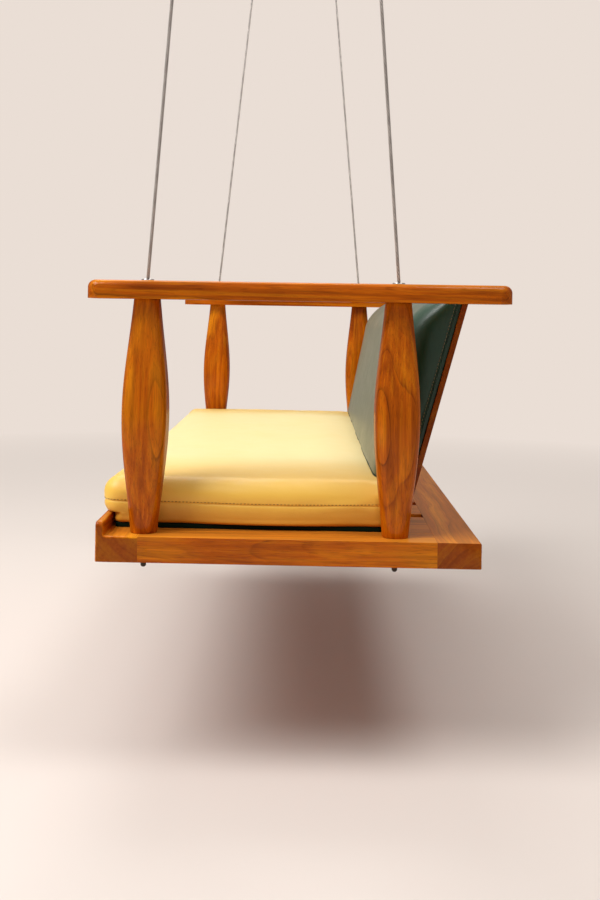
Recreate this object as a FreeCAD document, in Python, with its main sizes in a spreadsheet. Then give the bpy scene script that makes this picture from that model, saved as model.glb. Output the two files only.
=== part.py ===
import FreeCAD, Part
import math
import os
import Sketcher
from FreeCAD import Placement, Rotation, Vector

# Indoor swing seat (jhoola): a timber platform with four turned-in posts, two arm boards, a
# leaning back and loose cushions, hung on four wire ropes from clevis brackets in the ceiling.
# +X runs along the seat towards its right end, +Y towards its back, +Z up.
# The origin is on the ceiling, midway between the four brackets.

SIZES = {
    # platform
    "base_length": 1524,
    "base_front": 297,
    "base_back": 364,
    "base_thick": 44,
    "front_beam_wide": 73,
    "back_beam_wide": 75,
    "rail_wide": 75,
    "beam_round": 2,
    "lip_thick": 14,
    "lip_high": 25,
    "lip_cove": 5,
    "lip_round": 4,
    "lip_end_round": 10,
    "tenon_long": 35,
    "tenon_wide": 50,
    "tenon_thick": 16,
    "tenon_gap": 0.2,
    # deck
    "slat_thick": 16,
    "slat_wide": 96,
    "slat_gap": 34,
    "slat_round": 2,
    "slat_end_gap": 0.3,
    "cleat_wide": 20,
    "cleat_high": 20,
    "bearer_wide": 40,
    "bearer_high": 24,
    "bearer_tenon_long": 12,
    "bearer_tenon_wide": 24,
    "bearer_tenon_thick": 14,
    # posts and arms
    "post_inset": 46,
    "post_spread": 440,
    "post_height": 408,
    "post_end_wide": 46,
    "post_mid_wide": 78,
    "post_arris": 20,
    "arm_front_lap": 23,
    "arm_back_lap": 49,
    "arm_wide": 90,
    "arm_thick": 32,
    "arm_corner": 22,
    "arm_round": 13,
    # hanger rods and their fittings
    "rod_dia": 10,
    "rod_hole_dia": 11,
    "rod_reach": 17.5,
    "rod_end_round": 4,
    "collar_dia": 22,
    "collar_high": 3,
    "collar_bore_dia": 11.8,
    "collar_round": 1.5,
    "nut_flats": 17,
    "nut_high": 8,
    "washer_dia": 21,
    "washer_thick": 2,
    "counterbore_dia": 24,
    "counterbore_deep": 13,
    "thread_gap": 0.05,
    # wood screws
    "screw_dia": 4,
    "screw_head_dia": 8,
    "screw_head_high": 3,
    "slat_screw_long": 30,
    "cleat_screw_long": 35,
    "screw_gap": 0.1,
    "cleat_screw_pitch": 260,
    # seat
    "seat_board_thick": 8.5,
    "seat_board_side_gap": 3,
    "seat_board_back_gap": 3.28,
    "seat_end_gap": 4.2,
    "seat_front_lap": 6,
    "seat_back_gap": 3.05,
    "seat_thick": 83,
    "seat_corner": 30,
    "seat_draw": 4,
    "seat_crown": 6,
    # back
    "back_foot": 239,
    "back_lean": 15,
    "back_panel_thick": 9.5,
    "back_panel_tall": 447,
    "back_side_gap": 1.5,
    "back_board_thick": 8,
    "back_board_tall": 425,
    "back_board_rise": 18,
    "back_arm_gap": 7,
    "back_post_gap": 12,
    "back_thick": 85,
    "back_foot_thick": 58,
    "back_cushion_tall": 359,
    "back_cushion_rise": 79,
    "back_corner": 30,
    "back_draw": 2,
    "back_crown": 6,
    "batten_wide": 20,
    "batten_high": 8,
    "dowel_dia": 6,
    "dowel_long": 60,
    "dowel_gap": 0.1,
    "dowel_drop": 16,
    # ropes and ceiling fittings
    "rope_dia": 6,
    "rope_rise": 1060,
    "rope_lean_share": 0.0892,
    "rope_splay_share": 0.12,
    "rope_end_gap": 0.3,
    "soft_gap": 0.3,
    "eye_inner_dia": 16,
    "thimble_wide": 9,
    "thimble_wall": 2,
    "groove_gap": 0.1,
    "eye_clear": 0.3,
    "eye_long": 34,
    "eye_leg_gap": 0.4,
    "ferrule_long": 28,
    "ferrule_wide": 17,
    "ferrule_deep": 10,
    "ferrule_edge": 0.5,
    "pin_dia": 10,
    "pin_drop": 45,
    "pin_head_dia": 15,
    "pin_head_high": 4,
    "pin_reach": 8,
    "pin_gap": 0.05,
    "split_pin_dia": 2.5,
    "split_pin_long": 20,
    "split_pin_ring": 3,
    "split_pin_gap": 0.05,
    "plate_long": 80,
    "plate_wide": 60,
    "plate_thick": 6,
    "plate_corner": 8,
    "plate_hole_dia": 8.5,
    "plate_hole_long_pitch": 58,
    "plate_hole_wide_pitch": 38,
    "ear_gap": 17,
    "ear_thick": 6,
    "ear_wide": 26,
    "ear_round": 12,
    # cutting tools reach this far past the face they start from
    "overrun": 5,
}

# Sizes that follow from the ones above
DERIVED = {
    "deck_level": "-(pin_drop + rope_rise + arm_thick + post_height)",
    "base_low": "deck_level - base_thick",
    "arm_low": "deck_level + post_height",
    "arm_top": "arm_low + arm_thick",
    "base_half": "base_length / 2",
    "rail_half": "base_half - rail_wide",
    "post_x": "base_half - post_inset",
    "post_y": "post_spread / 2",
    "deck_front": "base_front - front_beam_wide",
    "deck_back": "base_back - back_beam_wide",
    "rail_long": "deck_front + deck_back",
    "arm_front": "base_front + arm_front_lap",
    "arm_back": "base_back + arm_back_lap",
    "slat_pitch": "slat_wide + slat_gap",
    "slat_low": "deck_level - slat_thick",
    "slat_long": "rail_long - 2 * slat_end_gap",
    "pivot_level": "arm_top + collar_high",
    "rope_height": "rope_rise - collar_high",
    "pin_x": "post_x + rope_splay_share * rope_height",
    "pin_y": "post_y - rope_lean_share * rope_height",
    "rod_top": "pivot_level - rope_dia / 2 - rope_end_gap",
    "rod_low": "base_low - rod_reach",
    "seat_low": "deck_level + seat_board_thick + soft_gap",
    # the post's width beside the fullest part of the seat cushion, by the same rule as post_width
    "seat_middle_share": "(seat_board_thick + soft_gap + seat_thick / 2) / post_height",
    "seat_swell_share": "(sin(180 * seat_middle_share) ^ 2 + 4 * seat_middle_share"
                        " * (1 - seat_middle_share)) / 2",
    "post_wide_at_seat": "post_end_wide + (post_mid_wide - post_end_wide) * seat_swell_share",
    "seat_half": "post_x - post_wide_at_seat / 2 - seat_end_gap",
    "seat_back": "back_foot - (back_panel_thick + soft_gap + back_board_thick) * cos(back_lean)"
                 " + back_board_rise * sin(back_lean) - seat_back_gap",
    "batten_front": "back_foot - back_panel_thick / cos(back_lean) - batten_wide",
    "seat_board_front": "base_front - lip_thick - lip_cove - soft_gap",
    "seat_board_deep": "seat_board_front + batten_front - seat_board_back_gap",
    "panel_half": "base_half - arm_wide - back_side_gap",
    # the back cushion ends short of the arm boards and short of the posts
    "back_half": "min(base_half - arm_wide - back_arm_gap; post_x - post_mid_wide / 2 - back_post_gap)",
    "ear_low": "-(pin_drop + ear_wide / 2)",
    "pin_long": "ear_gap + 2 * ear_thick + pin_reach",
    "cleat_screw_deep": "cleat_screw_long - cleat_wide + screw_gap",
    "cleat_screw_level": "slat_low - cleat_high / 2",
    "dowel_hole_deep": "dowel_long / 2 + dowel_gap",
    "dowel_rise": "post_height + arm_thick - dowel_drop",
    "dowel_z": "deck_level + dowel_rise",
    "dowel_y": "back_foot - back_panel_thick / 2 / cos(back_lean) + dowel_rise * tan(back_lean)",
}

SIDE_SIGNS = {"left": -1, "right": 1, "front": -1, "back": 1}
CORNERS = [(end, side) for side in ("front", "back") for end in ("left", "right")]

doc = FreeCAD.newDocument("jhoola")
sheet = doc.addObject("Spreadsheet::Sheet", "Sizes")
for row, (alias, amount) in enumerate({**SIZES, **DERIVED}.items(), start=1):
    sheet.set(f"A{row}", alias)
    sheet.set(f"B{row}", str(amount) if alias in SIZES else f"={amount}")
    sheet.setAlias(f"B{row}", alias)
doc.recompute()

nodes = []


def size(alias):
    """One named size, in millimetres."""
    return float(sheet.get(alias))


def named(expression):
    """The expression with each size's name led by its sheet's name."""
    words = "".join(c if c.isalnum() or c == "_" else " " for c in expression).split()
    result = ""
    rest = expression
    for word in words:
        at = rest.index(word)
        lead = "Sizes." if word in SIZES or word in DERIVED else ""
        result += rest[:at] + lead + word
        rest = rest[at + len(word):]
    return result + rest


def amount_of(expression):
    """The value that an expression in named sizes has now."""
    found = sheet.evalExpression(named(expression))
    return float(getattr(found, "Value", found))


def bind(thing, path, expression):
    """Binds a property of a document object to an expression in named sizes."""
    thing.setExpression(path, named(expression))


def place(thing, x="0", y="0", z="0"):
    """Binds where a document object stands."""
    for axis, expression in zip("xyz", (x, y, z)):
        if expression != "0":
            bind(thing, f"Placement.Base.{axis}", expression)


def keep(thing, label):
    """Names a finished sub-part, which is then written to its own file."""
    thing.Label = label
    nodes.append(thing)
    return thing


def signed(sign, expression):
    """The expression, on the negative or positive side."""
    return f"{'-' if sign < 0 else ''}({expression})"


# Sketches and features of a body

def new_body(label):
    body = doc.addObject("PartDesign::Body", label)
    return keep(body, label)


def new_sketch(body, role="XY_Plane", height="0"):
    sketch = body.newObject("Sketcher::SketchObject", f"{body.Name}_sketch")
    origin_plane = next(f for f in body.Origin.OriginFeatures if f.Role == role)
    sketch.AttachmentSupport = [(origin_plane, "")]
    sketch.MapMode = "FlatFace"
    if height != "0":
        bind(sketch, "AttachmentOffset.Base.z", height)
    return sketch


def hold_at(sketch, geometry, point, x, y):
    """Holds a sketch point at a distance right of and above the sketch's origin."""
    for kind, level, expression in (("DistanceX", "Vertical", x), ("DistanceY", "Horizontal", y)):
        if expression == "0":
            sketch.addConstraint(Sketcher.Constraint(level, -1, 1, geometry, point))
        else:
            held = Sketcher.Constraint(kind, -1, 1, geometry, point, amount_of(expression))
            index = sketch.addConstraint(held)
            bind(sketch, f"Constraints[{index}]", expression)


def draw_outline(sketch, points):
    """A closed outline of straight lines through points given as pairs of expressions."""
    places = [Vector(amount_of(x), amount_of(y), 0) for x, y in points]
    first = sketch.GeometryCount
    count = len(points)
    for i in range(count):
        sketch.addGeometry(Part.LineSegment(places[i], places[(i + 1) % count]))
    for i in range(count):
        following = first + (i + 1) % count
        sketch.addConstraint(Sketcher.Constraint("Coincident", first + i, 2, following, 1))
        hold_at(sketch, first + i, 1, *points[i])


def draw_rectangle(sketch, x, y, wide, tall):
    """A rectangle with its lower left corner at x, y."""
    right = wide if x == "0" else f"({x}) + ({wide})"
    top = tall if y == "0" else f"({y}) + ({tall})"
    draw_outline(sketch, [(x, y), (right, y), (right, top), (x, top)])


def draw_circle(sketch, x, y, dia):
    centre = Vector(amount_of(x), amount_of(y), 0)
    index = sketch.addGeometry(Part.Circle(centre, Vector(0, 0, 1), amount_of(dia) / 2))
    hold_at(sketch, index, 3, x, y)
    bound = sketch.addConstraint(Sketcher.Constraint("Diameter", index, amount_of(dia)))
    bind(sketch, f"Constraints[{bound}]", dia)


def pad(body, sketch, length):
    feature = body.newObject("PartDesign::Pad", f"{body.Name}_pad")
    feature.Profile = sketch
    bind(feature, "Length", length)
    sketch.Visibility = False
    return feature


def pocket(body, sketch, depth):
    """Cuts from the sketch downwards, against its normal."""
    feature = body.newObject("PartDesign::Pocket", f"{body.Name}_pocket")
    feature.Profile = sketch
    bind(feature, "Length", depth)
    return feature


def bore(body, spots, dia, top, depth):
    """Round holes at spots, cut down from the level top."""
    sketch = new_sketch(body, height=top)
    for x, y in spots:
        draw_circle(sketch, x, y, dia)
    return pocket(body, sketch, depth)


def end_bore(body, y, z, start):
    """A dowel hole along X, cut from the level start towards the body's left."""
    sketch = new_sketch(body, "YZ_Plane", start)
    draw_circle(sketch, y, z, "dowel_dia + 2 * dowel_gap")
    return pocket(body, sketch, "dowel_hole_deep + overrun")


def side_bore(body, spots, start, depth):
    """Screw holes along Y at spots of x and z, cut from the level start towards the back."""
    sketch = new_sketch(body, "XZ_Plane", f"-({start})")
    for x, z in spots:
        draw_circle(sketch, x, z, "screw_dia + 2 * screw_gap")
    return pocket(body, sketch, depth)


def round_edges(body, base, chosen, radius):
    """Rounds the edges of base for which chosen(edge) is true."""
    doc.recompute()
    names = [f"Edge{i}" for i, edge in enumerate(base.Shape.Edges, start=1) if chosen(edge)]
    feature = body.newObject("PartDesign::Fillet", f"{body.Name}_round")
    feature.Base = (base, names)
    bind(feature, "Radius", radius)
    body.Tip = feature
    return feature


def near(value, target):
    return abs(value - target) < size("tenon_gap") / 2


def runs_along(edge, axis):
    """True for a straight edge along one axis, 0 to 2 for X to Z."""
    if not isinstance(edge.Curve, Part.Line):
        return False
    return abs(abs(edge.Curve.Direction[axis]) - 1) < 1e-6


# Platform timbers

CLEAT_SCREW_STEPS = (-2, -1, 0, 1, 2)


def cleat_screw_spots(middle, level):
    """Where the screws that hold a cleat cross it, as pairs of x and z."""
    return [(f"{middle} + {step} * cleat_screw_pitch", level) for step in CLEAT_SCREW_STEPS]


def cut_rod_holes(body, spots):
    """The hanger rod's hole, right through the timber, and the room for its nut and washer."""
    bore(body, spots, "rod_hole_dia", "base_thick + overrun", "base_thick + 2 * overrun")
    bore(body, spots, "counterbore_dia", "counterbore_deep", "counterbore_deep + overrun")


def cut_mortises(body, inner_y, deep_y):
    """Mortises for both rails, open towards the rail."""
    top = "(base_thick + tenon_thick) / 2 + tenon_gap"
    inset = "(rail_wide - tenon_wide) / 2 - tenon_gap"
    wide = "tenon_wide + 2 * tenon_gap"
    sketch = new_sketch(body, height=top)
    draw_rectangle(sketch, inset, inner_y, wide, deep_y)
    far = f"base_length - ({inset}) - ({wide})"
    draw_rectangle(sketch, far, inner_y, wide, deep_y)
    return pocket(body, sketch, "tenon_thick + 2 * tenon_gap")


def make_front_beam():
    beam = new_body("front_beam")
    place(beam, "-base_half", "-base_front", "base_low")
    profile = new_sketch(beam, "YZ_Plane")
    draw_outline(profile, [
        ("0", "0"), ("front_beam_wide", "0"), ("front_beam_wide", "base_thick"),
        ("lip_thick", "base_thick"), ("lip_thick", "base_thick + lip_high"),
        ("0", "base_thick + lip_high")])
    shaped = pad(beam, profile, "base_length")
    top = size("base_thick") + size("lip_high")

    def on_cove(edge):
        at = edge.CenterOfMass
        return (runs_along(edge, 0) and near(at.y, size("lip_thick"))
                and near(at.z, size("base_thick")))

    def on_lip_end(edge):
        return runs_along(edge, 1) and near(edge.CenterOfMass.z, top)

    def on_lip_top(edge):
        return runs_along(edge, 0) and near(edge.CenterOfMass.z, top)

    shaped = round_edges(beam, shaped, on_cove, "lip_cove")
    shaped = round_edges(beam, shaped, on_lip_end, "lip_end_round")
    round_edges(beam, shaped, on_lip_top, "lip_round")
    cut_mortises(beam, "front_beam_wide - tenon_long - tenon_gap", "tenon_long + tenon_gap + overrun")
    rod_y = "base_front - post_y"
    cut_rod_holes(beam, [("post_inset", rod_y), ("base_length - post_inset", rod_y)])
    side_bore(beam, cleat_screw_spots("base_half", "cleat_screw_level - base_low"),
              "front_beam_wide - cleat_screw_deep", "cleat_screw_deep + overrun")


def make_back_beam():
    beam = new_body("back_beam")
    place(beam, "-base_half", "deck_back", "base_low")
    profile = new_sketch(beam, "YZ_Plane")
    draw_rectangle(profile, "0", "0", "back_beam_wide", "base_thick")
    shaped = pad(beam, profile, "base_length")

    def on_back(edge):
        return runs_along(edge, 0) and near(edge.CenterOfMass.y, size("back_beam_wide"))

    round_edges(beam, shaped, on_back, "beam_round")
    cut_mortises(beam, "0", "tenon_long + tenon_gap")
    side_bore(beam, cleat_screw_spots("base_half", "cleat_screw_level - base_low"),
              "-overrun", "cleat_screw_deep + overrun")


def make_side_rail(end):
    rail = new_body(f"side_rail_{end}")
    left = "-base_half" if end == "left" else "rail_half"
    place(rail, left, "-deck_front - tenon_long", "base_low")
    plan = new_sketch(rail)
    draw_rectangle(plan, "0", "tenon_long", "rail_wide", "rail_long")
    pad(rail, plan, "base_thick")
    tenons = new_sketch(rail, height="(base_thick - tenon_thick) / 2")
    inset = "(rail_wide - tenon_wide) / 2"
    draw_rectangle(tenons, inset, "0", "tenon_wide", "tenon_long + overrun")
    draw_rectangle(tenons, inset, "tenon_long + rail_long - overrun", "tenon_wide",
                   "tenon_long + overrun")
    pad(rail, tenons, "tenon_thick")
    # the mortise for the centre bearer is in the face towards the middle of the seat
    mortise = new_sketch(rail, height="base_thick - slat_thick - (bearer_high - bearer_tenon_thick) / 2"
                                      " + tenon_gap")
    deep = "bearer_tenon_long + tenon_gap"
    inner = f"rail_wide - ({deep})" if end == "left" else "0"
    middle = "tenon_long + rail_long / 2"
    draw_rectangle(mortise, inner, f"{middle} - bearer_tenon_wide / 2 - tenon_gap", deep,
                   "bearer_tenon_wide + 2 * tenon_gap")
    pocket(rail, mortise, "bearer_tenon_thick + 2 * tenon_gap")
    rod_x = "post_inset" if end == "left" else "rail_wide - post_inset"
    front_y = "tenon_long + deck_front - post_y"
    cut_rod_holes(rail, [(rod_x, front_y), (rod_x, f"{front_y} + post_spread")])


def make_bearer():
    bearer = new_body("centre_bearer")
    place(bearer, "-rail_half - bearer_tenon_long", "(deck_back - deck_front - bearer_wide) / 2",
          "slat_low - bearer_high")
    plan = new_sketch(bearer)
    draw_rectangle(plan, "bearer_tenon_long", "0", "2 * rail_half", "bearer_wide")
    pad(bearer, plan, "bearer_high")
    tenons = new_sketch(bearer, height="(bearer_high - bearer_tenon_thick) / 2")
    inset = "(bearer_wide - bearer_tenon_wide) / 2"
    for x in ("0", "bearer_tenon_long + 2 * rail_half - overrun"):
        draw_rectangle(tenons, x, inset, "bearer_tenon_long + overrun", "bearer_tenon_wide")
    pad(bearer, tenons, "bearer_tenon_thick")


# Deck slats, with the places of the screws that hold them

def slat_centres():
    """Each slat's name, its middle and its width, as expressions."""
    places = []
    per_half = int((2 * size("rail_half") / size("slat_pitch") - 1) // 2)
    for i in range(per_half):
        for sign in (-1, 1):
            places.append((sign * (i + 0.5), "slat_wide"))
    places.sort()
    named_slats = [(f"deck_slat_{n}", f"{step} * slat_pitch", wide)
                   for n, (step, wide) in enumerate(places, start=1)]
    inner = f"({per_half} * slat_pitch + slat_gap / 2)"
    wide = f"(rail_half - {inner} - slat_end_gap)"
    for end in ("left", "right"):
        sign = SIDE_SIGNS[end]
        named_slats.append((f"end_slat_{end}", signed(sign, f"{inner} + {wide} / 2"), wide))
    return named_slats


SLATS = slat_centres()


def make_slat(label, middle, wide):
    slat = new_body(label)
    place(slat, f"{middle} - {wide} / 2", "-deck_front + slat_end_gap", "slat_low")
    plan = new_sketch(slat)
    draw_rectangle(plan, "0", "0", wide, "slat_long")
    shaped = pad(slat, plan, "slat_thick")

    def on_top(edge):
        return runs_along(edge, 1) and near(edge.CenterOfMass.z, size("slat_thick"))

    round_edges(slat, shaped, on_top, "slat_round")
    hole_dia = "screw_dia + 2 * screw_gap"
    deep = "slat_screw_long - cleat_high + screw_gap"
    ends = ("cleat_wide / 2 - slat_end_gap", "slat_long - cleat_wide / 2 + slat_end_gap")
    bore(slat, [(f"{wide} / 2", y) for y in ends], hole_dia, deep, f"{deep} + overrun")


def make_cleat(side):
    """A square batten along a beam, drilled for the slat screws and its own screws."""
    cleat = new_body(f"{side}_cleat")
    y = "-deck_front" if side == "front" else "deck_back - cleat_wide"
    place(cleat, "-rail_half", y, "slat_low - cleat_high")
    plan = new_sketch(cleat)
    draw_rectangle(plan, "0", "0", "2 * rail_half", "cleat_wide")
    pad(cleat, plan, "cleat_high")
    spots = [(f"rail_half + {middle}", "cleat_wide / 2") for _, middle, _ in SLATS]
    bore(cleat, spots, "screw_dia + 2 * screw_gap", "cleat_high + overrun", "cleat_high + 2 * overrun")
    side_bore(cleat, cleat_screw_spots("rail_half", "cleat_high / 2"), "-overrun",
              "cleat_wide + 2 * overrun")


# Posts, arm boards and the hanger rods through them

def post_width(share):
    """Width of the swelling post at a share of its height."""
    sine_share = math.sin(math.pi * share) ** 2
    bow_share = 4 * share * (1 - share)
    swell = size("post_mid_wide") - size("post_end_wide")
    return size("post_end_wide") + swell * (sine_share + bow_share) / 2


def rounded_square(half, radius, level):
    """A level square outline of straight sides and corner arcs, as one wire."""
    flat = half - radius
    bend = radius * math.sqrt(0.5)
    edges = []
    for quarter in range(4):
        turn = Rotation(Vector(0, 0, 1), 90 * quarter)
        lift = Vector(0, 0, level)
        start, end = Vector(half, -flat, 0), Vector(half, flat, 0)
        middle = Vector(flat + bend, flat + bend, 0)
        finish = Vector(flat, half, 0)
        start, end, middle, finish = (turn.multVec(p) + lift for p in (start, end, middle, finish))
        edges.append(Part.LineSegment(start, end).toShape())
        edges.append(Part.Arc(end, middle, finish).toShape())
    return Part.Wire(edges)


def corner_place(end, side):
    """The post axis at one corner of the seat, as expressions for x and y."""
    return signed(SIDE_SIGNS[end], "post_x"), signed(SIDE_SIGNS[side], "post_y")


POST_LEVEL_SHARES = (0, 0.12, 0.25, 0.37, 0.5, 0.63, 0.75, 0.88, 1)


def make_post(end, side):
    tall = size("post_height")
    rings = [rounded_square(post_width(share) / 2, size("post_arris"), share * tall)
             for share in POST_LEVEL_SHARES]
    solid = Part.makeLoft(rings, True, False)
    over = size("overrun")
    drill = Part.makeCylinder(size("rod_hole_dia") / 2, tall + 2 * over, Vector(0, 0, -over))
    post = doc.addObject("Part::Feature", f"post_{side}_{end}")
    post.Shape = solid.cut(drill)
    place(post, *corner_place(end, side), "deck_level")
    keep(post, f"post_{side}_{end}")


def make_armrest(end):
    arm = new_body(f"armrest_{end}")
    left = "-base_half" if end == "left" else "base_half - arm_wide"
    place(arm, left, "-arm_front", "arm_low")
    plan = new_sketch(arm)
    draw_rectangle(plan, "0", "0", "arm_wide", "arm_front + arm_back")
    shaped = pad(arm, plan, "arm_thick")
    shaped = round_edges(arm, shaped, lambda edge: runs_along(edge, 2), "arm_corner")
    round_edges(arm, shaped, lambda edge: near(edge.BoundBox.ZMin, size("arm_thick")), "arm_round")
    rod_x = "post_inset" if end == "left" else "arm_wide - post_inset"
    spots = [(rod_x, "arm_front - post_y"), (rod_x, "arm_front + post_y")]
    bore(arm, spots, "rod_hole_dia", "arm_thick + overrun", "arm_thick + 2 * overrun")
    # the dowel that steadies the back panel goes into the edge towards the middle of the seat
    start = "dowel_hole_deep" if end == "right" else "arm_wide + overrun"
    end_bore(arm, "arm_front + dowel_y", "dowel_z - arm_low", start)


def rounded_rim(label, base, radius, level, rim_dia):
    """Rounds one round edge of a turned piece."""
    doc.recompute()
    rim = [i for i, edge in enumerate(base.Shape.Edges, start=1)
           if isinstance(edge.Curve, Part.Circle) and near(edge.CenterOfMass.z, level)
           and near(edge.Curve.Radius, rim_dia / 2)]
    rounded = doc.addObject("Part::Fillet", label)
    rounded.Base = base
    rounded.Edges = [(i, radius, radius) for i in rim]
    return rounded


def gather(label, pieces):
    """One node made of several alike solids."""
    group = doc.addObject("Part::Compound", label)
    group.Links = pieces
    return keep(group, label)


def make_rods():
    """The hanger rods, with their lower ends rounded."""
    rods = []
    for end, side in CORNERS:
        bar = doc.addObject("Part::Cylinder", f"rod_bar_{side}_{end}")
        bind(bar, "Radius", "rod_dia / 2")
        bind(bar, "Height", "rod_top - rod_low")
        rod = rounded_rim(f"rod_{side}_{end}", bar, size("rod_end_round"), 0, size("rod_dia"))
        place(rod, *corner_place(end, side), "rod_low")
        rods.append(rod)
    gather("hanger_rods", rods)


def ring_at(name, outer_dia, bore_dia, high, x, y, z, prism=False):
    """A washer, or a hexagon nut, standing on the level z."""
    outer = doc.addObject("Part::Prism" if prism else "Part::Cylinder", f"{name}_outer")
    if prism:
        outer.Polygon = 6
        bind(outer, "Circumradius", f"({outer_dia}) / 2 / cos(30)")
    else:
        bind(outer, "Radius", f"({outer_dia}) / 2")
    bind(outer, "Height", high)
    inner = doc.addObject("Part::Cylinder", f"{name}_bore")
    bind(inner, "Radius", f"({bore_dia}) / 2")
    bind(inner, "Height", f"({high}) + 2 * overrun")
    bind(inner, "Placement.Base.z", "-overrun")
    ring = doc.addObject("Part::Cut", name)
    ring.Base = outer
    ring.Tool = inner
    place(ring, x, y, z)
    return ring


def make_collars():
    """The round collars that the ropes come out of, on the arm boards."""
    collars = []
    for end, side in CORNERS:
        ring = ring_at(f"collar_ring_{side}_{end}", "collar_dia", "collar_bore_dia", "collar_high",
                       "0", "0", "0")
        collar = rounded_rim(f"collar_{side}_{end}", ring, size("collar_round"),
                             size("collar_high"), size("collar_dia"))
        place(collar, *corner_place(end, side), "arm_top")
        collars.append(collar)
    gather("rope_collars", collars)


def make_base_fittings():
    nuts, washers = [], []
    seat = "base_low + counterbore_deep"
    for end, side in CORNERS:
        x, y = corner_place(end, side)
        washers.append(ring_at(f"washer_{side}_{end}", "washer_dia", "rod_dia + 2 * thread_gap",
                               "washer_thick", x, y, f"{seat} - washer_thick"))
        nuts.append(ring_at(f"nut_{side}_{end}", "nut_flats", "rod_dia + 2 * thread_gap",
                            "nut_high", x, y, f"{seat} - washer_thick - nut_high", prism=True))
    gather("base_washers", washers)
    gather("base_nuts", nuts)


# Wood screws: a flat head and a plain shank

def screw(name, long, x, y, z, turn):
    shank = doc.addObject("Part::Cylinder", f"{name}_shank")
    bind(shank, "Radius", "screw_dia / 2")
    bind(shank, "Height", long)
    head = doc.addObject("Part::Cylinder", f"{name}_head")
    bind(head, "Radius", "screw_head_dia / 2")
    bind(head, "Height", "screw_head_high")
    bind(head, "Placement.Base.z", "-screw_head_high")
    whole = doc.addObject("Part::Fuse", name)
    whole.Base = head
    whole.Tool = shank
    whole.Placement = Placement(Vector(), turn)
    place(whole, x, y, z)
    return whole


def make_slat_screws():
    """Two screws up into each slat, through the cleats, with their heads under the cleats."""
    up = Rotation()
    pieces = []
    for label, middle, _ in SLATS:
        for side, y in (("front", "-deck_front + cleat_wide / 2"), ("back", "deck_back - cleat_wide / 2")):
            pieces.append(screw(f"screw_{label}_{side}", "slat_screw_long", middle, y,
                                "slat_low - cleat_high", up))
    gather("slat_screws", pieces)


def make_cleat_screws():
    """Screws through each cleat into its beam."""
    pieces = []
    for side, y in (("front", "-deck_front + cleat_wide"), ("back", "deck_back - cleat_wide")):
        turn = Rotation(Vector(1, 0, 0), -SIDE_SIGNS[side] * 90)
        for step, (x, z) in enumerate(cleat_screw_spots("0", "cleat_screw_level"), start=1):
            pieces.append(screw(f"cleat_screw_{side}_{step}", "cleat_screw_long", x, y, z, turn))
    gather("cleat_screws", pieces)


# Upholstered boards and cushions

def plain_box(label, x, y, z, long, deep, tall):
    box = doc.addObject("Part::Box", label)
    bind(box, "Length", long)
    bind(box, "Width", deep)
    bind(box, "Height", tall)
    place(box, x, y, z)
    return box


def make_seat_board():
    keep(plain_box("seat_board", "-rail_half + seat_board_side_gap",
                   "-seat_board_front", "deck_level",
                   "2 * (rail_half - seat_board_side_gap)", "seat_board_deep", "seat_board_thick"),
         "seat_board")


def cushion_ring(x_half, y_low, y_high, level, corner, draw, upright=False):
    """A cushion's outline at one level: round corners, and sides drawn in between them."""
    def at(x, y):
        return Vector(x, level, y) if upright else Vector(x, y, level)

    bend = corner * (1 - math.sqrt(0.5))
    middle = (y_low + y_high) / 2
    sides = [
        (at(-x_half + corner, y_low), at(0, y_low + draw), at(x_half - corner, y_low)),
        (at(x_half - corner, y_low), at(x_half - bend, y_low + bend), at(x_half, y_low + corner)),
        (at(x_half, y_low + corner), at(x_half - draw, middle), at(x_half, y_high - corner)),
        (at(x_half, y_high - corner), at(x_half - bend, y_high - bend), at(x_half - corner, y_high)),
        (at(x_half - corner, y_high), at(0, y_high - draw), at(-x_half + corner, y_high)),
        (at(-x_half + corner, y_high), at(-x_half + bend, y_high - bend), at(-x_half, y_high - corner)),
        (at(-x_half, y_high - corner), at(-x_half + draw, middle), at(-x_half, y_low + corner)),
        (at(-x_half, y_low + corner), at(-x_half + bend, y_low + bend), at(-x_half + corner, y_low)),
    ]
    return Part.Wire([Part.Arc(*side).toShape() for side in sides])


# level of each ring as a share of the cushion's thickness, and how far it is set in as a share
# of the crown's depth, for a cushion whose cover swells between its seams
SEAT_RING_SHARES = ((0, 1.6), (0.1, 0.6), (0.22, 0.25), (0.36, 0.05), (0.5, 0), (0.68, 0.05),
                    (0.82, 0.6), (0.91, 1.6), (0.965, 2.7), (1, 4.6))
SEAT_FRONT_SHARES = (0, 0, 0.03, 0.5, 0.85, 1, 1, 1, 1, 1)


def make_seat_cushion():
    crown = size("seat_crown")
    behind_lip = -size("base_front") + size("lip_thick") + size("seat_board_side_gap")
    over_lip = -size("base_front") - size("seat_front_lap")
    rings = []
    for (level_share, inset_share), front_share in zip(SEAT_RING_SHARES, SEAT_FRONT_SHARES):
        inset = inset_share * crown
        front = behind_lip + (over_lip + inset - behind_lip) * front_share
        rings.append(cushion_ring(size("seat_half") - inset, front, size("seat_back") - inset,
                                  level_share * size("seat_thick"), size("seat_corner"),
                                  size("seat_draw")))
    cushion = doc.addObject("Part::Feature", "seat_cushion")
    cushion.Shape = Part.makeLoft(rings, True, False)
    place(cushion, "0", "0", "seat_low")
    keep(cushion, "seat_cushion")


def lean(thing, forward, rise, x="0"):
    """Leans a piece back with the back panel.

    forward and rise are measured from the line where the panel's rear face meets the deck,
    square to the panel and up along it. The piece's own Y then points forward.
    """
    turn = Rotation(Vector(1, 0, 0), -size("back_lean")) * Rotation(Vector(0, 0, 1), 180)
    thing.Placement = Placement(Vector(), turn)
    place(thing, x,
          f"back_foot - ({forward}) * cos(back_lean) + ({rise}) * sin(back_lean)",
          f"deck_level + ({forward}) * sin(back_lean) + ({rise}) * cos(back_lean)")


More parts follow.
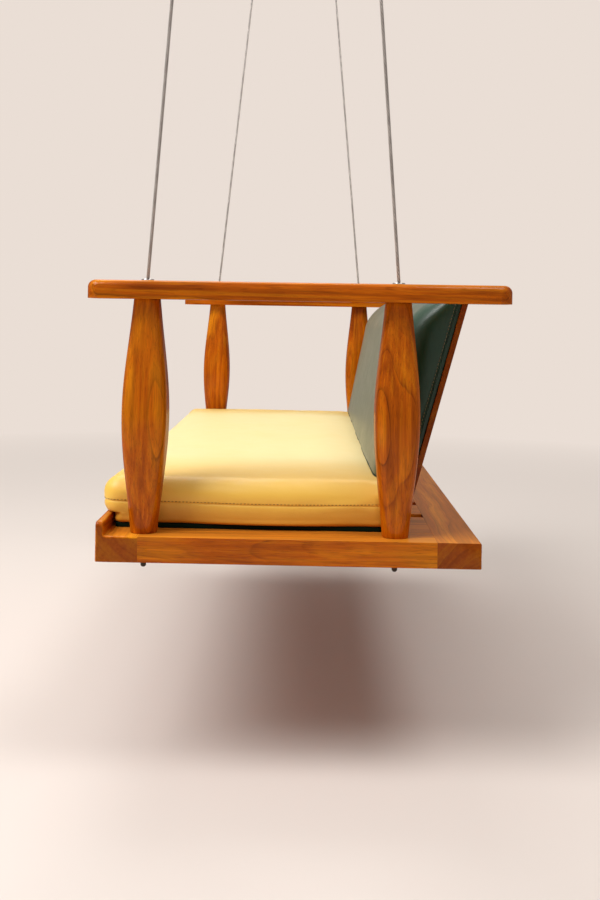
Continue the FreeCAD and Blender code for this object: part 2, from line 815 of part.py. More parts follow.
def make_back_panel():
    """A thin board with its foot cut level, so that it stands on the deck."""
    panel = new_body("back_panel")
    bevel = "back_panel_thick * tan(back_lean)"
    profile = new_sketch(panel, "YZ_Plane")
    draw_outline(profile, [
        ("0", bevel), ("back_panel_thick", "0"),
        ("back_panel_thick", "back_panel_tall"), ("0", "back_panel_tall")])
    pad(panel, profile, "2 * panel_half")
    level = f"(dowel_rise - back_panel_thick / 2 * sin(back_lean)) / cos(back_lean) + {bevel}"
    for start in ("dowel_hole_deep", "2 * panel_half + overrun"):
        end_bore(panel, "back_panel_thick / 2", level, start)
    lean(panel, "0", f"-({bevel})", "panel_half")


def make_back_board():
    board = plain_box("back_board", "0", "0", "0", "2 * back_half", "back_board_thick",
                      "back_board_tall")
    lean(board, "back_panel_thick + soft_gap", "back_board_rise", "back_half")
    keep(board, "back_board")


# level of each ring from the board outwards as a share of the thickness, and how far its ends,
# its foot and its top are set in as shares of the crown's depth, for a top that rounds off early
BACK_RING_SHARES = ((0, 0.4, 0.4, 0.4), (0.25, 0.3, 0.1, 1.4), (0.5, 1.1, 0, 4), (0.78, 3.2, 0.4, 8.5),
                    (0.93, 5.6, 1.3, 13), (1, 9, 3.4, 19))


def make_back_cushion():
    crown = size("back_crown")
    tall = size("back_cushion_tall")
    thicken = size("back_thick") - size("back_foot_thick")
    rings = []
    for level_share, end_share, foot_share, top_share in BACK_RING_SHARES:
        level = level_share * size("back_foot_thick")
        ring = cushion_ring(size("back_half") - end_share * crown, foot_share * crown,
                            tall - top_share * crown, level, size("back_corner"), size("back_draw"),
                            upright=True)
        spread = math.degrees(math.atan(level_share * thicken / tall))
        ring.rotate(Vector(0, level, 0), Vector(1, 0, 0), -spread)
        rings.append(ring)
    cushion = doc.addObject("Part::Feature", "back_cushion")
    cushion.Shape = Part.makeLoft(rings, True, False)
    lean(cushion, "back_panel_thick + back_board_thick + 2 * soft_gap", "back_cushion_rise")
    keep(cushion, "back_cushion")


def make_back_batten():
    """The batten that holds the panel's foot, hidden under the seat cushion."""
    keep(plain_box("back_foot_batten", "-panel_half", "batten_front", "deck_level",
                   "2 * panel_half", "batten_wide", "batten_high"), "back_foot_batten")


def make_dowels():
    pieces = []
    for end in ("left", "right"):
        dowel = doc.addObject("Part::Cylinder", f"dowel_{end}")
        bind(dowel, "Radius", "dowel_dia / 2")
        bind(dowel, "Height", "dowel_long")
        dowel.Placement = Placement(Vector(), Rotation(Vector(0, 1, 0), 90))
        middle = signed(SIDE_SIGNS[end], "panel_half + back_side_gap / 2")
        place(dowel, f"{middle} - dowel_long / 2", "dowel_y", "dowel_z")
        pieces.append(dowel)
    gather("back_dowels", pieces)


# Ropes, their eyes and the ceiling fittings

ROPE_RADIUS = size("rope_dia") / 2
ROPE_RISE = Vector(size("pin_x") - size("post_x"), size("pin_y") - size("post_y"), size("rope_height"))
# the eye leans with the rope on its level pin, and hangs from the pin's top with a little room
EYE_TILT = math.asin(ROPE_RISE.x / ROPE_RISE.Length)
EYE_DROP = (size("eye_inner_dia") / 2 - size("pin_dia") / 2 / math.cos(EYE_TILT)
            - size("thimble_wide") / 2 * math.tan(EYE_TILT) - size("eye_clear"))
GROOVE_RADIUS = ROPE_RADIUS + size("groove_gap")
EYE_RADIUS = size("eye_inner_dia") / 2 + size("thimble_wall") + GROOVE_RADIUS


def rope_frame(end, side):
    """A placement at the pin's middle, with Z up along the rope and X along the eye's axis."""
    up = Vector(SIDE_SIGNS[end] * ROPE_RISE.x, SIDE_SIGNS[side] * ROPE_RISE.y, ROPE_RISE.z)
    up.normalize()
    across = Vector(1, 0, 0) - up * up.x
    across.normalize()
    turn = Rotation(across, up.cross(across), up, "ZXY")
    pin = Vector(SIDE_SIGNS[end] * size("pin_x"), SIDE_SIGNS[side] * size("pin_y"), -size("pin_drop"))
    return Placement(pin, turn)


def keep_on_rope(label, shape, end, side):
    piece = doc.addObject("Part::Feature", label)
    piece.Shape = shape
    piece.Placement = rope_frame(end, side) * shape.Placement
    keep(piece, label)


def thimble_solid():
    """A grooved ring about the eye's axis."""
    half = size("thimble_wide") / 2
    inner = size("eye_inner_dia") / 2
    corners = [Vector(-GROOVE_RADIUS, 0, EYE_RADIUS), Vector(-half, 0, EYE_RADIUS),
               Vector(-half, 0, inner), Vector(half, 0, inner), Vector(half, 0, EYE_RADIUS),
               Vector(GROOVE_RADIUS, 0, EYE_RADIUS)]
    edges = [Part.LineSegment(a, b).toShape() for a, b in zip(corners, corners[1:])]
    groove = Part.Arc(corners[-1], Vector(0, 0, EYE_RADIUS - GROOVE_RADIUS), corners[0])
    section = Part.Face(Part.Wire(edges + [groove.toShape()]))
    ring = section.revolve(Vector(), Vector(1, 0, 0), 360)
    ring.translate(Vector(0, 0, -EYE_DROP))
    return ring


def eye_solid():
    """The rope's loop over the thimble, cut level where it enters the ferrule."""
    foot = Vector(0, ROPE_RADIUS + size("eye_leg_gap"), -size("eye_long"))
    # the leg from the foot touches the loop's circle where the angle at the centre is wide
    wide = math.acos(EYE_RADIUS / foot.Length)
    aim = math.atan2(foot.z, foot.y) + wide
    touch = Vector(0, EYE_RADIUS * math.cos(aim), EYE_RADIUS * math.sin(aim))
    along = (foot - touch).normalize()
    start = foot + along * size("overrun")

    def flipped(point):
        return Vector(point.x, -point.y, point.z)

    path = Part.Wire([
        Part.LineSegment(start, touch).toShape(),
        Part.Arc(touch, Vector(0, 0, EYE_RADIUS), flipped(touch)).toShape(),
        Part.LineSegment(flipped(touch), flipped(start)).toShape()])
    section = Part.Wire(Part.makeCircle(ROPE_RADIUS, start, along))
    loop = path.makePipeShell([section], True, False)
    reach = 2 * EYE_RADIUS
    below = Part.makeBox(2 * reach, 2 * reach, reach, Vector(-reach, -reach, foot.z - reach))
    loop = loop.cut(below)
    loop.translate(Vector(0, 0, -EYE_DROP))
    return loop


def ferrule_solid():
    """A pressed oval sleeve."""
    deep, wide = size("ferrule_deep"), size("ferrule_wide")
    bar = Part.makeBox(deep, wide, size("ferrule_long"), Vector(-deep / 2, -wide / 2, 0))
    upright = [edge for edge in bar.Edges if runs_along(edge, 2)]
    sleeve = bar.makeFillet(deep / 2 - size("ferrule_edge"), upright)
    sleeve.translate(Vector(0, 0, -EYE_DROP - size("eye_long") - size("ferrule_long")))
    return sleeve


ROPE_LONG = ROPE_RISE.Length - EYE_DROP - size("eye_long") - size("ferrule_long")


def rope_solid():
    """The straight rope from its round lower end in the collar up to the ferrule."""
    bar = Part.makeCylinder(ROPE_RADIUS, ROPE_LONG)
    rope = bar.fuse(Part.makeSphere(ROPE_RADIUS)).removeSplitter()
    rope.translate(Vector(0, 0, -ROPE_RISE.Length))
    return rope


def make_rope(end, side):
    name = "rear" if side == "back" else "front"
    keep_on_rope(f"rope_{name}_{end}", rope_solid(), end, side)
    keep_on_rope(f"rope_eye_{name}_{end}", eye_solid(), end, side)
    keep_on_rope(f"thimble_{name}_{end}", thimble_solid(), end, side)
    keep_on_rope(f"ferrule_{name}_{end}", ferrule_solid(), end, side)


def make_bracket(end, side):
    name = "rear" if side == "back" else "front"
    bracket = new_body(f"ceiling_bracket_{name}_{end}")
    place(bracket, f"{signed(SIDE_SIGNS[end], 'pin_x')} - plate_long / 2",
          f"{signed(SIDE_SIGNS[side], 'pin_y')} - plate_wide / 2", "ear_low")
    plan = new_sketch(bracket, height="-ear_low - plate_thick")
    draw_rectangle(plan, "0", "0", "plate_long", "plate_wide")
    pad(bracket, plan, "plate_thick")
    for x in ("(plate_long - ear_gap) / 2 - ear_thick", "(plate_long + ear_gap) / 2"):
        ear = new_sketch(bracket, "YZ_Plane", x)
        draw_rectangle(ear, "(plate_wide - ear_wide) / 2", "0", "ear_wide", "-ear_low - plate_thick / 2")
        shaped = pad(bracket, ear, "ear_thick")

    def on_plate_corner(edge):
        at = edge.CenterOfMass
        inset = size("plate_long") / 2 - abs(at.x - size("plate_long") / 2)
        return runs_along(edge, 2) and near(inset, 0)

    def on_ear_end(edge):
        return runs_along(edge, 0) and near(edge.CenterOfMass.z, 0)

    shaped = round_edges(bracket, shaped, on_plate_corner, "plate_corner")
    round_edges(bracket, shaped, on_ear_end, "ear_round")
    spots = [(f"(plate_long + {across} * plate_hole_long_pitch) / 2",
              f"(plate_wide + {deep} * plate_hole_wide_pitch) / 2")
             for across in (-1, 1) for deep in (-1, 1)]
    bore(bracket, spots, "plate_hole_dia", "overrun - ear_low", "plate_thick + 2 * overrun")
    drill = new_sketch(bracket, "YZ_Plane", "plate_long")
    draw_circle(drill, "plate_wide / 2", "ear_wide / 2", "pin_dia + 2 * pin_gap")
    pocket(bracket, drill, "plate_long")


def make_pins():
    """Clevis pins with their heads outwards, and a split pin through each one's inner end."""
    pins, splits = [], []
    along = Rotation(Vector(0, 1, 0), 90)
    for end, side in CORNERS:
        outward = SIDE_SIGNS[end]
        turn = Rotation(Vector(0, 1, 0), -90 * outward)
        x = signed(outward, "pin_x")
        y = signed(SIDE_SIGNS[side], "pin_y")
        bar = doc.addObject("Part::Cylinder", f"pin_bar_{side}_{end}")
        bind(bar, "Radius", "pin_dia / 2")
        bind(bar, "Height", "pin_long")
        head = doc.addObject("Part::Cylinder", f"pin_head_{side}_{end}")
        bind(head, "Radius", "pin_head_dia / 2")
        bind(head, "Height", "pin_head_high")
        bind(head, "Placement.Base.z", "-pin_head_high")
        whole = doc.addObject("Part::Fuse", f"pin_whole_{side}_{end}")
        whole.Base = bar
        whole.Tool = head
        hole = doc.addObject("Part::Cylinder", f"pin_hole_{side}_{end}")
        bind(hole, "Radius", "split_pin_dia / 2 + split_pin_gap")
        bind(hole, "Height", "2 * pin_dia")
        hole.Placement = Placement(Vector(), Rotation(Vector(1, 0, 0), 90))
        place(hole, "0", "pin_dia", "pin_long - pin_reach / 2")
        pin = doc.addObject("Part::Cut", f"pin_{side}_{end}")
        pin.Base = whole
        pin.Tool = hole
        pin.Placement = Placement(Vector(), turn)
        place(pin, f"{x} + {outward} * (ear_gap / 2 + ear_thick)", y, "-pin_drop")
        pins.append(pin)

        leg = doc.addObject("Part::Cylinder", f"split_leg_{side}_{end}")
        bind(leg, "Radius", "split_pin_dia / 2")
        bind(leg, "Height", "split_pin_long")
        leg.Placement = Placement(Vector(), Rotation(Vector(1, 0, 0), 90))
        bind(leg, "Placement.Base.y", "split_pin_long / 2")
        ring = doc.addObject("Part::Torus", f"split_ring_{side}_{end}")
        bind(ring, "Radius1", "split_pin_ring")
        bind(ring, "Radius2", "split_pin_dia / 2")
        ring.Placement = Placement(Vector(), along)
        bind(ring, "Placement.Base.y", "split_pin_long / 2 + split_pin_ring")
        split = doc.addObject("Part::Fuse", f"split_{side}_{end}")
        split.Base = leg
        split.Tool = ring
        inner_end = "ear_gap / 2 + ear_thick + pin_reach / 2"
        place(split, f"{x} - {outward} * ({inner_end})", y, "-pin_drop")
        splits.append(split)
    gather("clevis_pins", pins)
    gather("split_pins", splits)


make_front_beam()
make_back_beam()
for end in ("left", "right"):
    make_side_rail(end)
for side in ("front", "back"):
    make_cleat(side)
make_bearer()
for label, middle, wide in SLATS:
    make_slat(label, middle, wide)
for end, side in CORNERS:
    make_post(end, side)
for end in ("left", "right"):
    make_armrest(end)
make_rods()
make_collars()
make_base_fittings()
make_slat_screws()
make_cleat_screws()
make_seat_board()
make_seat_cushion()
make_back_panel()
make_back_board()
make_back_cushion()
make_back_batten()
make_dowels()
for end, side in CORNERS:
    make_rope(end, side)
    make_bracket(end, side)
make_pins()
doc.recompute()

# every object has to be sound before anything is written
for thing in doc.Objects:
    if "Invalid" in thing.State or "Error" in thing.State:
        raise RuntimeError(f"{thing.Name} is {thing.State}")
for node in nodes:
    if node.Shape.isNull() or not node.Shape.isValid():
        raise RuntimeError(f"{node.Label} has no valid shape")

os.makedirs("parts", exist_ok=True)
for node in nodes:
    node.Shape.exportStep(f"parts/{node.Label}.step")
print(len(nodes), "nodes")
drawn = ROPE_LONG * math.pi * ROPE_RADIUS ** 2 + 2 / 3 * math.pi * ROPE_RADIUS ** 3
print("each rope is straight,", round(ROPE_LONG), "mm long; volume by its solid over volume by its sizes",
      round(rope_solid().Volume / drawn, 5))
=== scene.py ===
import math

import bmesh
import bpy
from mathutils import Euler, Matrix, Vector, noise
from mathutils.bvhtree import BVHTree


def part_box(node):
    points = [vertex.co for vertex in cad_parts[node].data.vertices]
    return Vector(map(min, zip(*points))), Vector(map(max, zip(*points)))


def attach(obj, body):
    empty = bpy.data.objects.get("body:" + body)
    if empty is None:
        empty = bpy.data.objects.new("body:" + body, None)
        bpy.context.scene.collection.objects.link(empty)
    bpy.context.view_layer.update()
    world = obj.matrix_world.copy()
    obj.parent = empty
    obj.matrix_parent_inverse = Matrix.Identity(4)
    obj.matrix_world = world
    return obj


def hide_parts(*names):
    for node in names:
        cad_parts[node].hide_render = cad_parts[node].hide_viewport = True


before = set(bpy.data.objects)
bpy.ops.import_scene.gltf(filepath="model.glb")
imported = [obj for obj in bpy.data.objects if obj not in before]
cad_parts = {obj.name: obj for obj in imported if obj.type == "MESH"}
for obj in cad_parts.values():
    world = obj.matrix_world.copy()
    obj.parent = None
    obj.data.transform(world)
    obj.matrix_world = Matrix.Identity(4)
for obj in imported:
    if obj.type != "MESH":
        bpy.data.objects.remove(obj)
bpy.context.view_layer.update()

# Looks of the swing seat, in metres, in the frame's own axes: +X to the seat's right end (the
# end nearest to the camera), +Y to its back, +Z up, with Z = 0 on the ceiling.

# Levels taken from the frame
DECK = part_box("side_rail_right")[1].z
BASE_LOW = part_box("side_rail_right")[0].z

# The photograph's camera, found by matching corners of the seat
IMAGE_WIDE, IMAGE_TALL = 600, 900
FOCAL_PIXELS = 1051
AXIS_PIXEL = (289, 311)
SENSOR = 36
EYE = Vector((2.556, 0.063, -1.156))
YAW, PITCH, ROLL = -0.01867, 0.001, 0.01607


def make_camera():
    data = bpy.data.cameras.new("camera")
    data.sensor_width = SENSOR
    data.lens = FOCAL_PIXELS * SENSOR / IMAGE_TALL
    data.shift_x = (IMAGE_WIDE / 2 - AXIS_PIXEL[0]) / IMAGE_TALL
    data.shift_y = -(IMAGE_TALL / 2 - AXIS_PIXEL[1]) / IMAGE_TALL
    ahead, side, up = Vector((-1, 0, 0)), Vector((0, 1, 0)), Vector((0, 0, 1))
    level_ahead = math.cos(YAW) * ahead + math.sin(YAW) * side
    level_right = -math.sin(YAW) * ahead + math.cos(YAW) * side
    looking = math.cos(PITCH) * level_ahead + math.sin(PITCH) * up
    over = -math.sin(PITCH) * level_ahead + math.cos(PITCH) * up
    right = math.cos(ROLL) * level_right + math.sin(ROLL) * over
    over = math.cos(ROLL) * over - math.sin(ROLL) * level_right
    camera = bpy.data.objects.new("camera", data)
    camera.matrix_world = Matrix.Translation(EYE) @ Matrix((right, over, -looking)).transposed().to_4x4()
    bpy.context.scene.collection.objects.link(camera)
    bpy.context.scene.camera = camera


# Colours, as they are seen

def srgb(red, green, blue):
    """A colour of 0 to 255 as Blender's linear values."""
    def linear(level):
        level /= 255
        return level / 12.92 if level <= 0.04045 else ((level + 0.055) / 1.055) ** 2.4
    return linear(red), linear(green), linear(blue), 1.0


TEAK_GOLD = srgb(232, 144, 18)
TEAK_ORANGE = srgb(184, 87, 5)
TEAK_RUSSET = srgb(126, 51, 2)
TEAK_VEIN = srgb(60, 22, 2)
TEAK_END = srgb(120, 52, 4)
# painted light: the paler colour of teak faces that look up
TEAK_LIT_TOP = srgb(240, 165, 60)
YELLOW = srgb(250, 200, 80)
# painted light: the yellow cover's colour where it faces up
YELLOW_LIT_TOP = srgb(244, 221, 156)
# painted shade: the yellow cover's colour low over the deck
YELLOW_LOW_SHADE = srgb(218, 146, 32)
YELLOW_THREAD = srgb(140, 88, 30)
GREEN = srgb(5, 56, 30)
# painted light: the green cover's colour where it faces up
GREEN_LIT_TOP = srgb(12, 60, 36)
GREEN_THREAD = srgb(140, 124, 92)
# painted shade: a darker copy of the green, for the seat board under the cushion
GREEN_BOARD_SHADE = srgb(5, 26, 15)
GREEN_WELT = srgb(6, 44, 32)
ROPE_STEEL = srgb(244, 234, 226)
# painted shade for the grooves between wires and between strands
ROPE_GROOVE_SHADE = srgb(40, 24, 18)
BRIGHT_STEEL = srgb(205, 203, 200)
DARK_STEEL = srgb(58, 48, 40)
FERRULE_METAL = srgb(212, 212, 210)
BRACKET_STEEL = srgb(120, 120, 118)
BACKGROUND = srgb(234, 222, 213)
FLOOR_COLOUR = srgb(222, 211, 203)


# Shader nodes

def node(tree, kind, inputs=None, **settings):
    """A shader node with its settings, and its inputs given as values or as other nodes' outputs."""
    made = tree.nodes.new(kind)
    for key, value in settings.items():
        setattr(made, key, value)
    for key, value in (inputs or {}).items():
        if isinstance(value, bpy.types.NodeSocket):
            tree.links.new(value, made.inputs[key])
        else:
            made.inputs[key].default_value = value
    return made


def math_of(tree, operation, first, second=0.0):
    return node(tree, "ShaderNodeMath", {0: first, 1: second}, operation=operation).outputs[0]


def scaled(tree, vector, amounts):
    return node(tree, "ShaderNodeVectorMath", {0: vector, 1: amounts}, operation="MULTIPLY").outputs[0]


def noise_of(tree, vector, scale=1.0, detail=2.0, rough=0.5, output="Fac"):
    return node(tree, "ShaderNodeTexNoise", {"Vector": vector, "Scale": scale, "Detail": detail,
                                             "Roughness": rough}).outputs[output]


def coordinates(tree, kind="Object"):
    return node(tree, "ShaderNodeTexCoord").outputs[kind]


def part_of(tree, vector, axis):
    return node(tree, "ShaderNodeSeparateXYZ", {0: vector}).outputs[axis]


def mixed(tree, factor, first, second, blend="MIX"):
    made = node(tree, "ShaderNodeMix", {0: factor, 6: first, 7: second}, data_type="RGBA", blend_type=blend)
    return made.outputs[2]


def spread(tree, value, low, high, to_low=0.0, to_high=1.0):
    """The value, stretched from one range to another and held inside it."""
    return node(tree, "ShaderNodeMapRange", {0: value, 1: low, 2: high, 3: to_low, 4: to_high}).outputs[0]


def ramp(tree, value, stops):
    """A grey curve through (place, level) stops."""
    made = node(tree, "ShaderNodeValToRGB", {0: value})
    elements = made.color_ramp.elements
    while len(elements) < len(stops):
        elements.new(0.5)
    for element, (place, level) in zip(elements, stops):
        element.position = place
        element.color = (level, level, level, 1)
    return made.outputs[0]


def new_material(name):
    material = bpy.data.materials.new(name)
    material.use_nodes = True
    tree = material.node_tree
    shader = tree.nodes["Principled BSDF"]
    return material, tree, shader


# Varnished teak: growth rings about a pith line, fibres and pores along it

RING_PITCH = 0.0062


def make_teak_group():
    tree = bpy.data.node_groups.new("teak_figure", "ShaderNodeTree")
    tree.interface.new_socket("Vector", in_out="INPUT", socket_type="NodeSocketVector")
    tree.interface.new_socket("Color", in_out="OUTPUT", socket_type="NodeSocketColor")
    tree.interface.new_socket("Height", in_out="OUTPUT", socket_type="NodeSocketFloat")
    place = tree.nodes.new("NodeGroupInput").outputs[0]
    # slow wander of the rings, more across the grain than along it
    wander = noise_of(tree, scaled(tree, place, (6, 6, 1.7)), detail=3, rough=0.55, output="Color")
    shift = node(tree, "ShaderNodeVectorMath", {0: wander, 1: (0.5, 0.5, 0.5)},
                 operation="SUBTRACT").outputs[0]
    bent = node(tree, "ShaderNodeVectorMath", {0: scaled(tree, shift, (0.05, 0.05, 0)), 1: place},
                operation="ADD").outputs[0]
    radius = node(tree, "ShaderNodeVectorMath", {0: scaled(tree, bent, (1, 1, 0))},
                  operation="LENGTH").outputs["Value"]
    jitter = noise_of(tree, scaled(tree, place, (60, 60, 7)), detail=3)
    phase = math_of(tree, "ADD", math_of(tree, "DIVIDE", radius, RING_PITCH),
                    math_of(tree, "MULTIPLY", jitter, 0.5))
    late = ramp(tree, math_of(tree, "FRACT", phase),
                [(0.0, 0.25), (0.1, 0.0), (0.5, 0.08), (0.82, 0.45), (0.95, 1.0), (1.0, 0.3)])
    ring = node(tree, "ShaderNodeTexWhiteNoise", {"W": math_of(tree, "FLOOR", phase)},
                noise_dimensions="1D").outputs["Value"]
    bold = math_of(tree, "MULTIPLY", ring, ring)
    faint = noise_of(tree, scaled(tree, place, (24, 24, 5)), detail=2)
    vein = math_of(tree, "MULTIPLY", late, math_of(tree, "MULTIPLY", spread(tree, bold, 0, 1, 0.1, 0.85),
                                                   spread(tree, faint, 0.35, 0.6, 0.3, 1.0)))
    # broad tone, golden to russet, in bands that follow the rings, then veins, fibres and pores
    along = part_of(tree, place, 2)
    banded = node(tree, "ShaderNodeCombineXYZ", {0: math_of(tree, "MULTIPLY", phase, 0.33),
                                                 1: math_of(tree, "MULTIPLY", along, 2.1)}).outputs[0]
    bands = noise_of(tree, banded, detail=3, rough=0.55)
    patches = noise_of(tree, scaled(tree, place, (13, 13, 2.6)), detail=3, rough=0.6)
    tone = math_of(tree, "ADD", math_of(tree, "MULTIPLY", bands, 0.6),
                   math_of(tree, "MULTIPLY", patches, 0.4))
    colour = mixed(tree, spread(tree, tone, 0.34, 0.5), TEAK_RUSSET, TEAK_ORANGE)
    colour = mixed(tree, spread(tree, tone, 0.5, 0.68), colour, TEAK_GOLD)
    colour = mixed(tree, vein, colour, TEAK_VEIN)
    streak = noise_of(tree, scaled(tree, place, (110, 110, 2.4)), detail=4, rough=0.6)
    colour = mixed(tree, spread(tree, streak, 0.5, 0.66, 0, 0.28), colour, TEAK_VEIN)
    colour = mixed(tree, spread(tree, streak, 0.5, 0.36, 0, 0.24), colour, TEAK_GOLD)
    fibre = noise_of(tree, scaled(tree, place, (330, 330, 9)), detail=4, rough=0.65)
    tint = spread(tree, fibre, 0.3, 0.7, 0.84, 1.12)
    tint = node(tree, "ShaderNodeCombineColor", {0: tint, 1: tint, 2: tint}).outputs[0]
    colour = mixed(tree, 1.0, colour, tint, "MULTIPLY")
    pore = noise_of(tree, scaled(tree, place, (1100, 1100, 32)), detail=1)
    pores = spread(tree, pore, 0.6, 0.7)
    colour = mixed(tree, math_of(tree, "MULTIPLY", pores, 0.45), colour, TEAK_VEIN)
    height = math_of(tree, "SUBTRACT", math_of(tree, "MULTIPLY", fibre, 0.5),
                     math_of(tree, "MULTIPLY", pores, 0.35))
    exit_node = tree.nodes.new("NodeGroupOutput")
    tree.links.new(colour, exit_node.inputs["Color"])
    tree.links.new(height, exit_node.inputs["Height"])
    return tree


# a turn that lays each axis along the grain's own Z
GRAIN_TURNS = {
    "X": Euler((0, -math.pi / 2, 0)).to_matrix(),
    "Y": Euler((math.pi / 2, 0, 0)).to_matrix(),
    "Z": Matrix.Identity(3),
}


def teak(name, axis, pith, tilt, seed):
    """Teak whose pith runs along an axis, past the piece's middle at pith, tilted by degrees."""
    low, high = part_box(name)
    turn = Euler((math.radians(tilt[0]), math.radians(tilt[1]), 0)).to_matrix() @ GRAIN_TURNS[axis]
    offset = Vector((*pith, seed * 1.37)) - turn @ ((low + high) / 2)
    material, tree, shader = new_material(f"teak_{name}")
    place = coordinates(tree)
    place = node(tree, "ShaderNodeMapping",
                 {"Vector": place, "Location": offset, "Rotation": turn.to_euler()}).outputs[0]
    figure = node(tree, "ShaderNodeGroup", {}, node_tree=TEAK_FIGURE)
    tree.links.new(place, figure.inputs[0])
    # sawn ends drink more varnish, so they are darker
    facing = node(tree, "ShaderNodeSeparateXYZ", {0: coordinates(tree, "Normal")})
    ends = spread(tree, math_of(tree, "ABSOLUTE", facing.outputs[axis]), 0.8, 0.97)
    # painted light: what faces up is painted paler, as light from above makes it
    lit_tops = spread(tree, facing.outputs[2], 0.7, 0.98, 0, 0.3)
    colour = mixed(tree, lit_tops, figure.outputs["Color"], TEAK_LIT_TOP)
    tree.links.new(mixed(tree, math_of(tree, "MULTIPLY", ends, 0.7), colour, TEAK_END),
                   shader.inputs["Base Color"])
    wave = noise_of(tree, scaled(tree, place, (22, 22, 5)), detail=1)
    relief = node(tree, "ShaderNodeBump", {"Height": wave, "Strength": 0.1, "Distance": 0.002}).outputs[0]
    relief = node(tree, "ShaderNodeBump", {"Height": figure.outputs["Height"], "Normal": relief,
                                           "Strength": 0.12, "Distance": 0.0006}).outputs[0]
    tree.links.new(relief, shader.inputs["Normal"])
    tree.links.new(spread(tree, figure.outputs["Height"], 0, 0.4, 0.42, 0.3), shader.inputs["Roughness"])
    shader.inputs["Specular IOR Level"].default_value = 0.0
    shader.inputs["Coat Weight"].default_value = 0.4
    shader.inputs["Coat IOR"].default_value = 1.4
    shader.inputs["Coat Roughness"].default_value = 0.12
    return material


# Leatherette: a fine pebble, soft creases and a slow change of tone

def leatherette(name, colour, top, roughness, specular=0.5, coat=0.0, sheen=0.0, end=0.0, deep=None):
    """Leatherette of one colour, with painted light: paler where it faces up, as light from above makes it.

    This painted paling leaves off towards an end, a distance along X, where armrests keep it in shade.
    The lowest 5 cm over the deck turn to the deep colour, a painted shade.
    """
    material, tree, shader = new_material(name)
    seat = node(tree, "ShaderNodeTexCoord")
    place = seat.outputs["Object"]
    upward = part_of(tree, seat.outputs["Normal"], 2)
    tone = noise_of(tree, place, 7, 4, 0.6)
    # painted light: faces that look up are painted paler, with a random change of tone added
    top_light_and_tone = math_of(tree, "ADD", spread(tree, upward, 0.2, 0.95), spread(tree, tone, 0.3, 0.7, -0.12, 0.12))
    if end:
        along = math_of(tree, "ABSOLUTE", part_of(tree, place, 0))
        top_light_and_tone = math_of(tree, "MULTIPLY", top_light_and_tone, spread(tree, along, end - 0.26, end - 0.04, 1.0, 0.15))
    shade = mixed(tree, top_light_and_tone, colour, top)
    if deep:
        # painted shade: the lowest 5 cm over the deck turn to the deep colour
        height = part_of(tree, place, 2)
        shade = mixed(tree, spread(tree, height, DECK + 0.05, DECK + 0.012), shade, deep)
    tree.links.new(shade, shader.inputs["Base Color"])
    pebble = node(tree, "ShaderNodeTexVoronoi", {"Vector": place, "Scale": 950.0, "Smoothness": 0.6},
                  feature="SMOOTH_F1").outputs["Distance"]
    crease = noise_of(tree, scaled(tree, place, (150, 70, 150)), 1.0, 6, 0.62)
    relief = node(tree, "ShaderNodeBump", {"Height": crease, "Strength": 0.18, "Distance": 0.0015}).outputs[0]
    relief = node(tree, "ShaderNodeBump", {"Height": pebble, "Normal": relief, "Strength": 0.2,
                                           "Distance": 0.0004}, invert=True).outputs[0]
    tree.links.new(relief, shader.inputs["Normal"])
    rub = noise_of(tree, place, 30, 3)
    tree.links.new(spread(tree, rub, 0.3, 0.7, roughness + 0.05, roughness - 0.05),
                   shader.inputs["Roughness"])
    shader.inputs["Specular IOR Level"].default_value = specular
    shader.inputs["Coat Weight"].default_value = coat
    shader.inputs["Coat Roughness"].default_value = 0.3
    shader.inputs["Sheen Weight"].default_value = sheen
    shader.inputs["Sheen Roughness"].default_value = 0.35
    shader.inputs["Sheen Tint"].default_value = (1.0, 0.9, 0.74, 1)
    return material


def thread(name, colour):
    material, tree, shader = new_material(name)
    place = coordinates(tree)
    twist = noise_of(tree, place, 1600, 2)
    tree.links.new(mixed(tree, math_of(tree, "MULTIPLY", twist, 0.5), colour, (0, 0, 0, 1)),
                   shader.inputs["Base Color"])
    shader.inputs["Roughness"].default_value = 0.7
    return material


# Metals: brushed and slightly uneven

def metal(name, colour, roughness, grain=(900, 900, 60)):
    material, tree, shader = new_material(name)
    place = coordinates(tree)
    brush = noise_of(tree, scaled(tree, place, grain), detail=3)
    patch = noise_of(tree, place, 45, 4, 0.6)
    dull = mixed(tree, 0.28, colour, (0.1, 0.09, 0.08, 1))
    tree.links.new(mixed(tree, spread(tree, patch, 0.4, 0.62), dull, colour), shader.inputs["Base Color"])
    shader.inputs["Metallic"].default_value = 1.0
    tree.links.new(spread(tree, patch, 0.3, 0.7, roughness + 0.1, roughness - 0.06),
                   shader.inputs["Roughness"])
    relief = node(tree, "ShaderNodeBump", {"Height": brush, "Strength": 0.12, "Distance": 0.0002}).outputs[0]
    tree.links.new(relief, shader.inputs["Normal"])
    return material


WIRES_PER_STRAND = 9


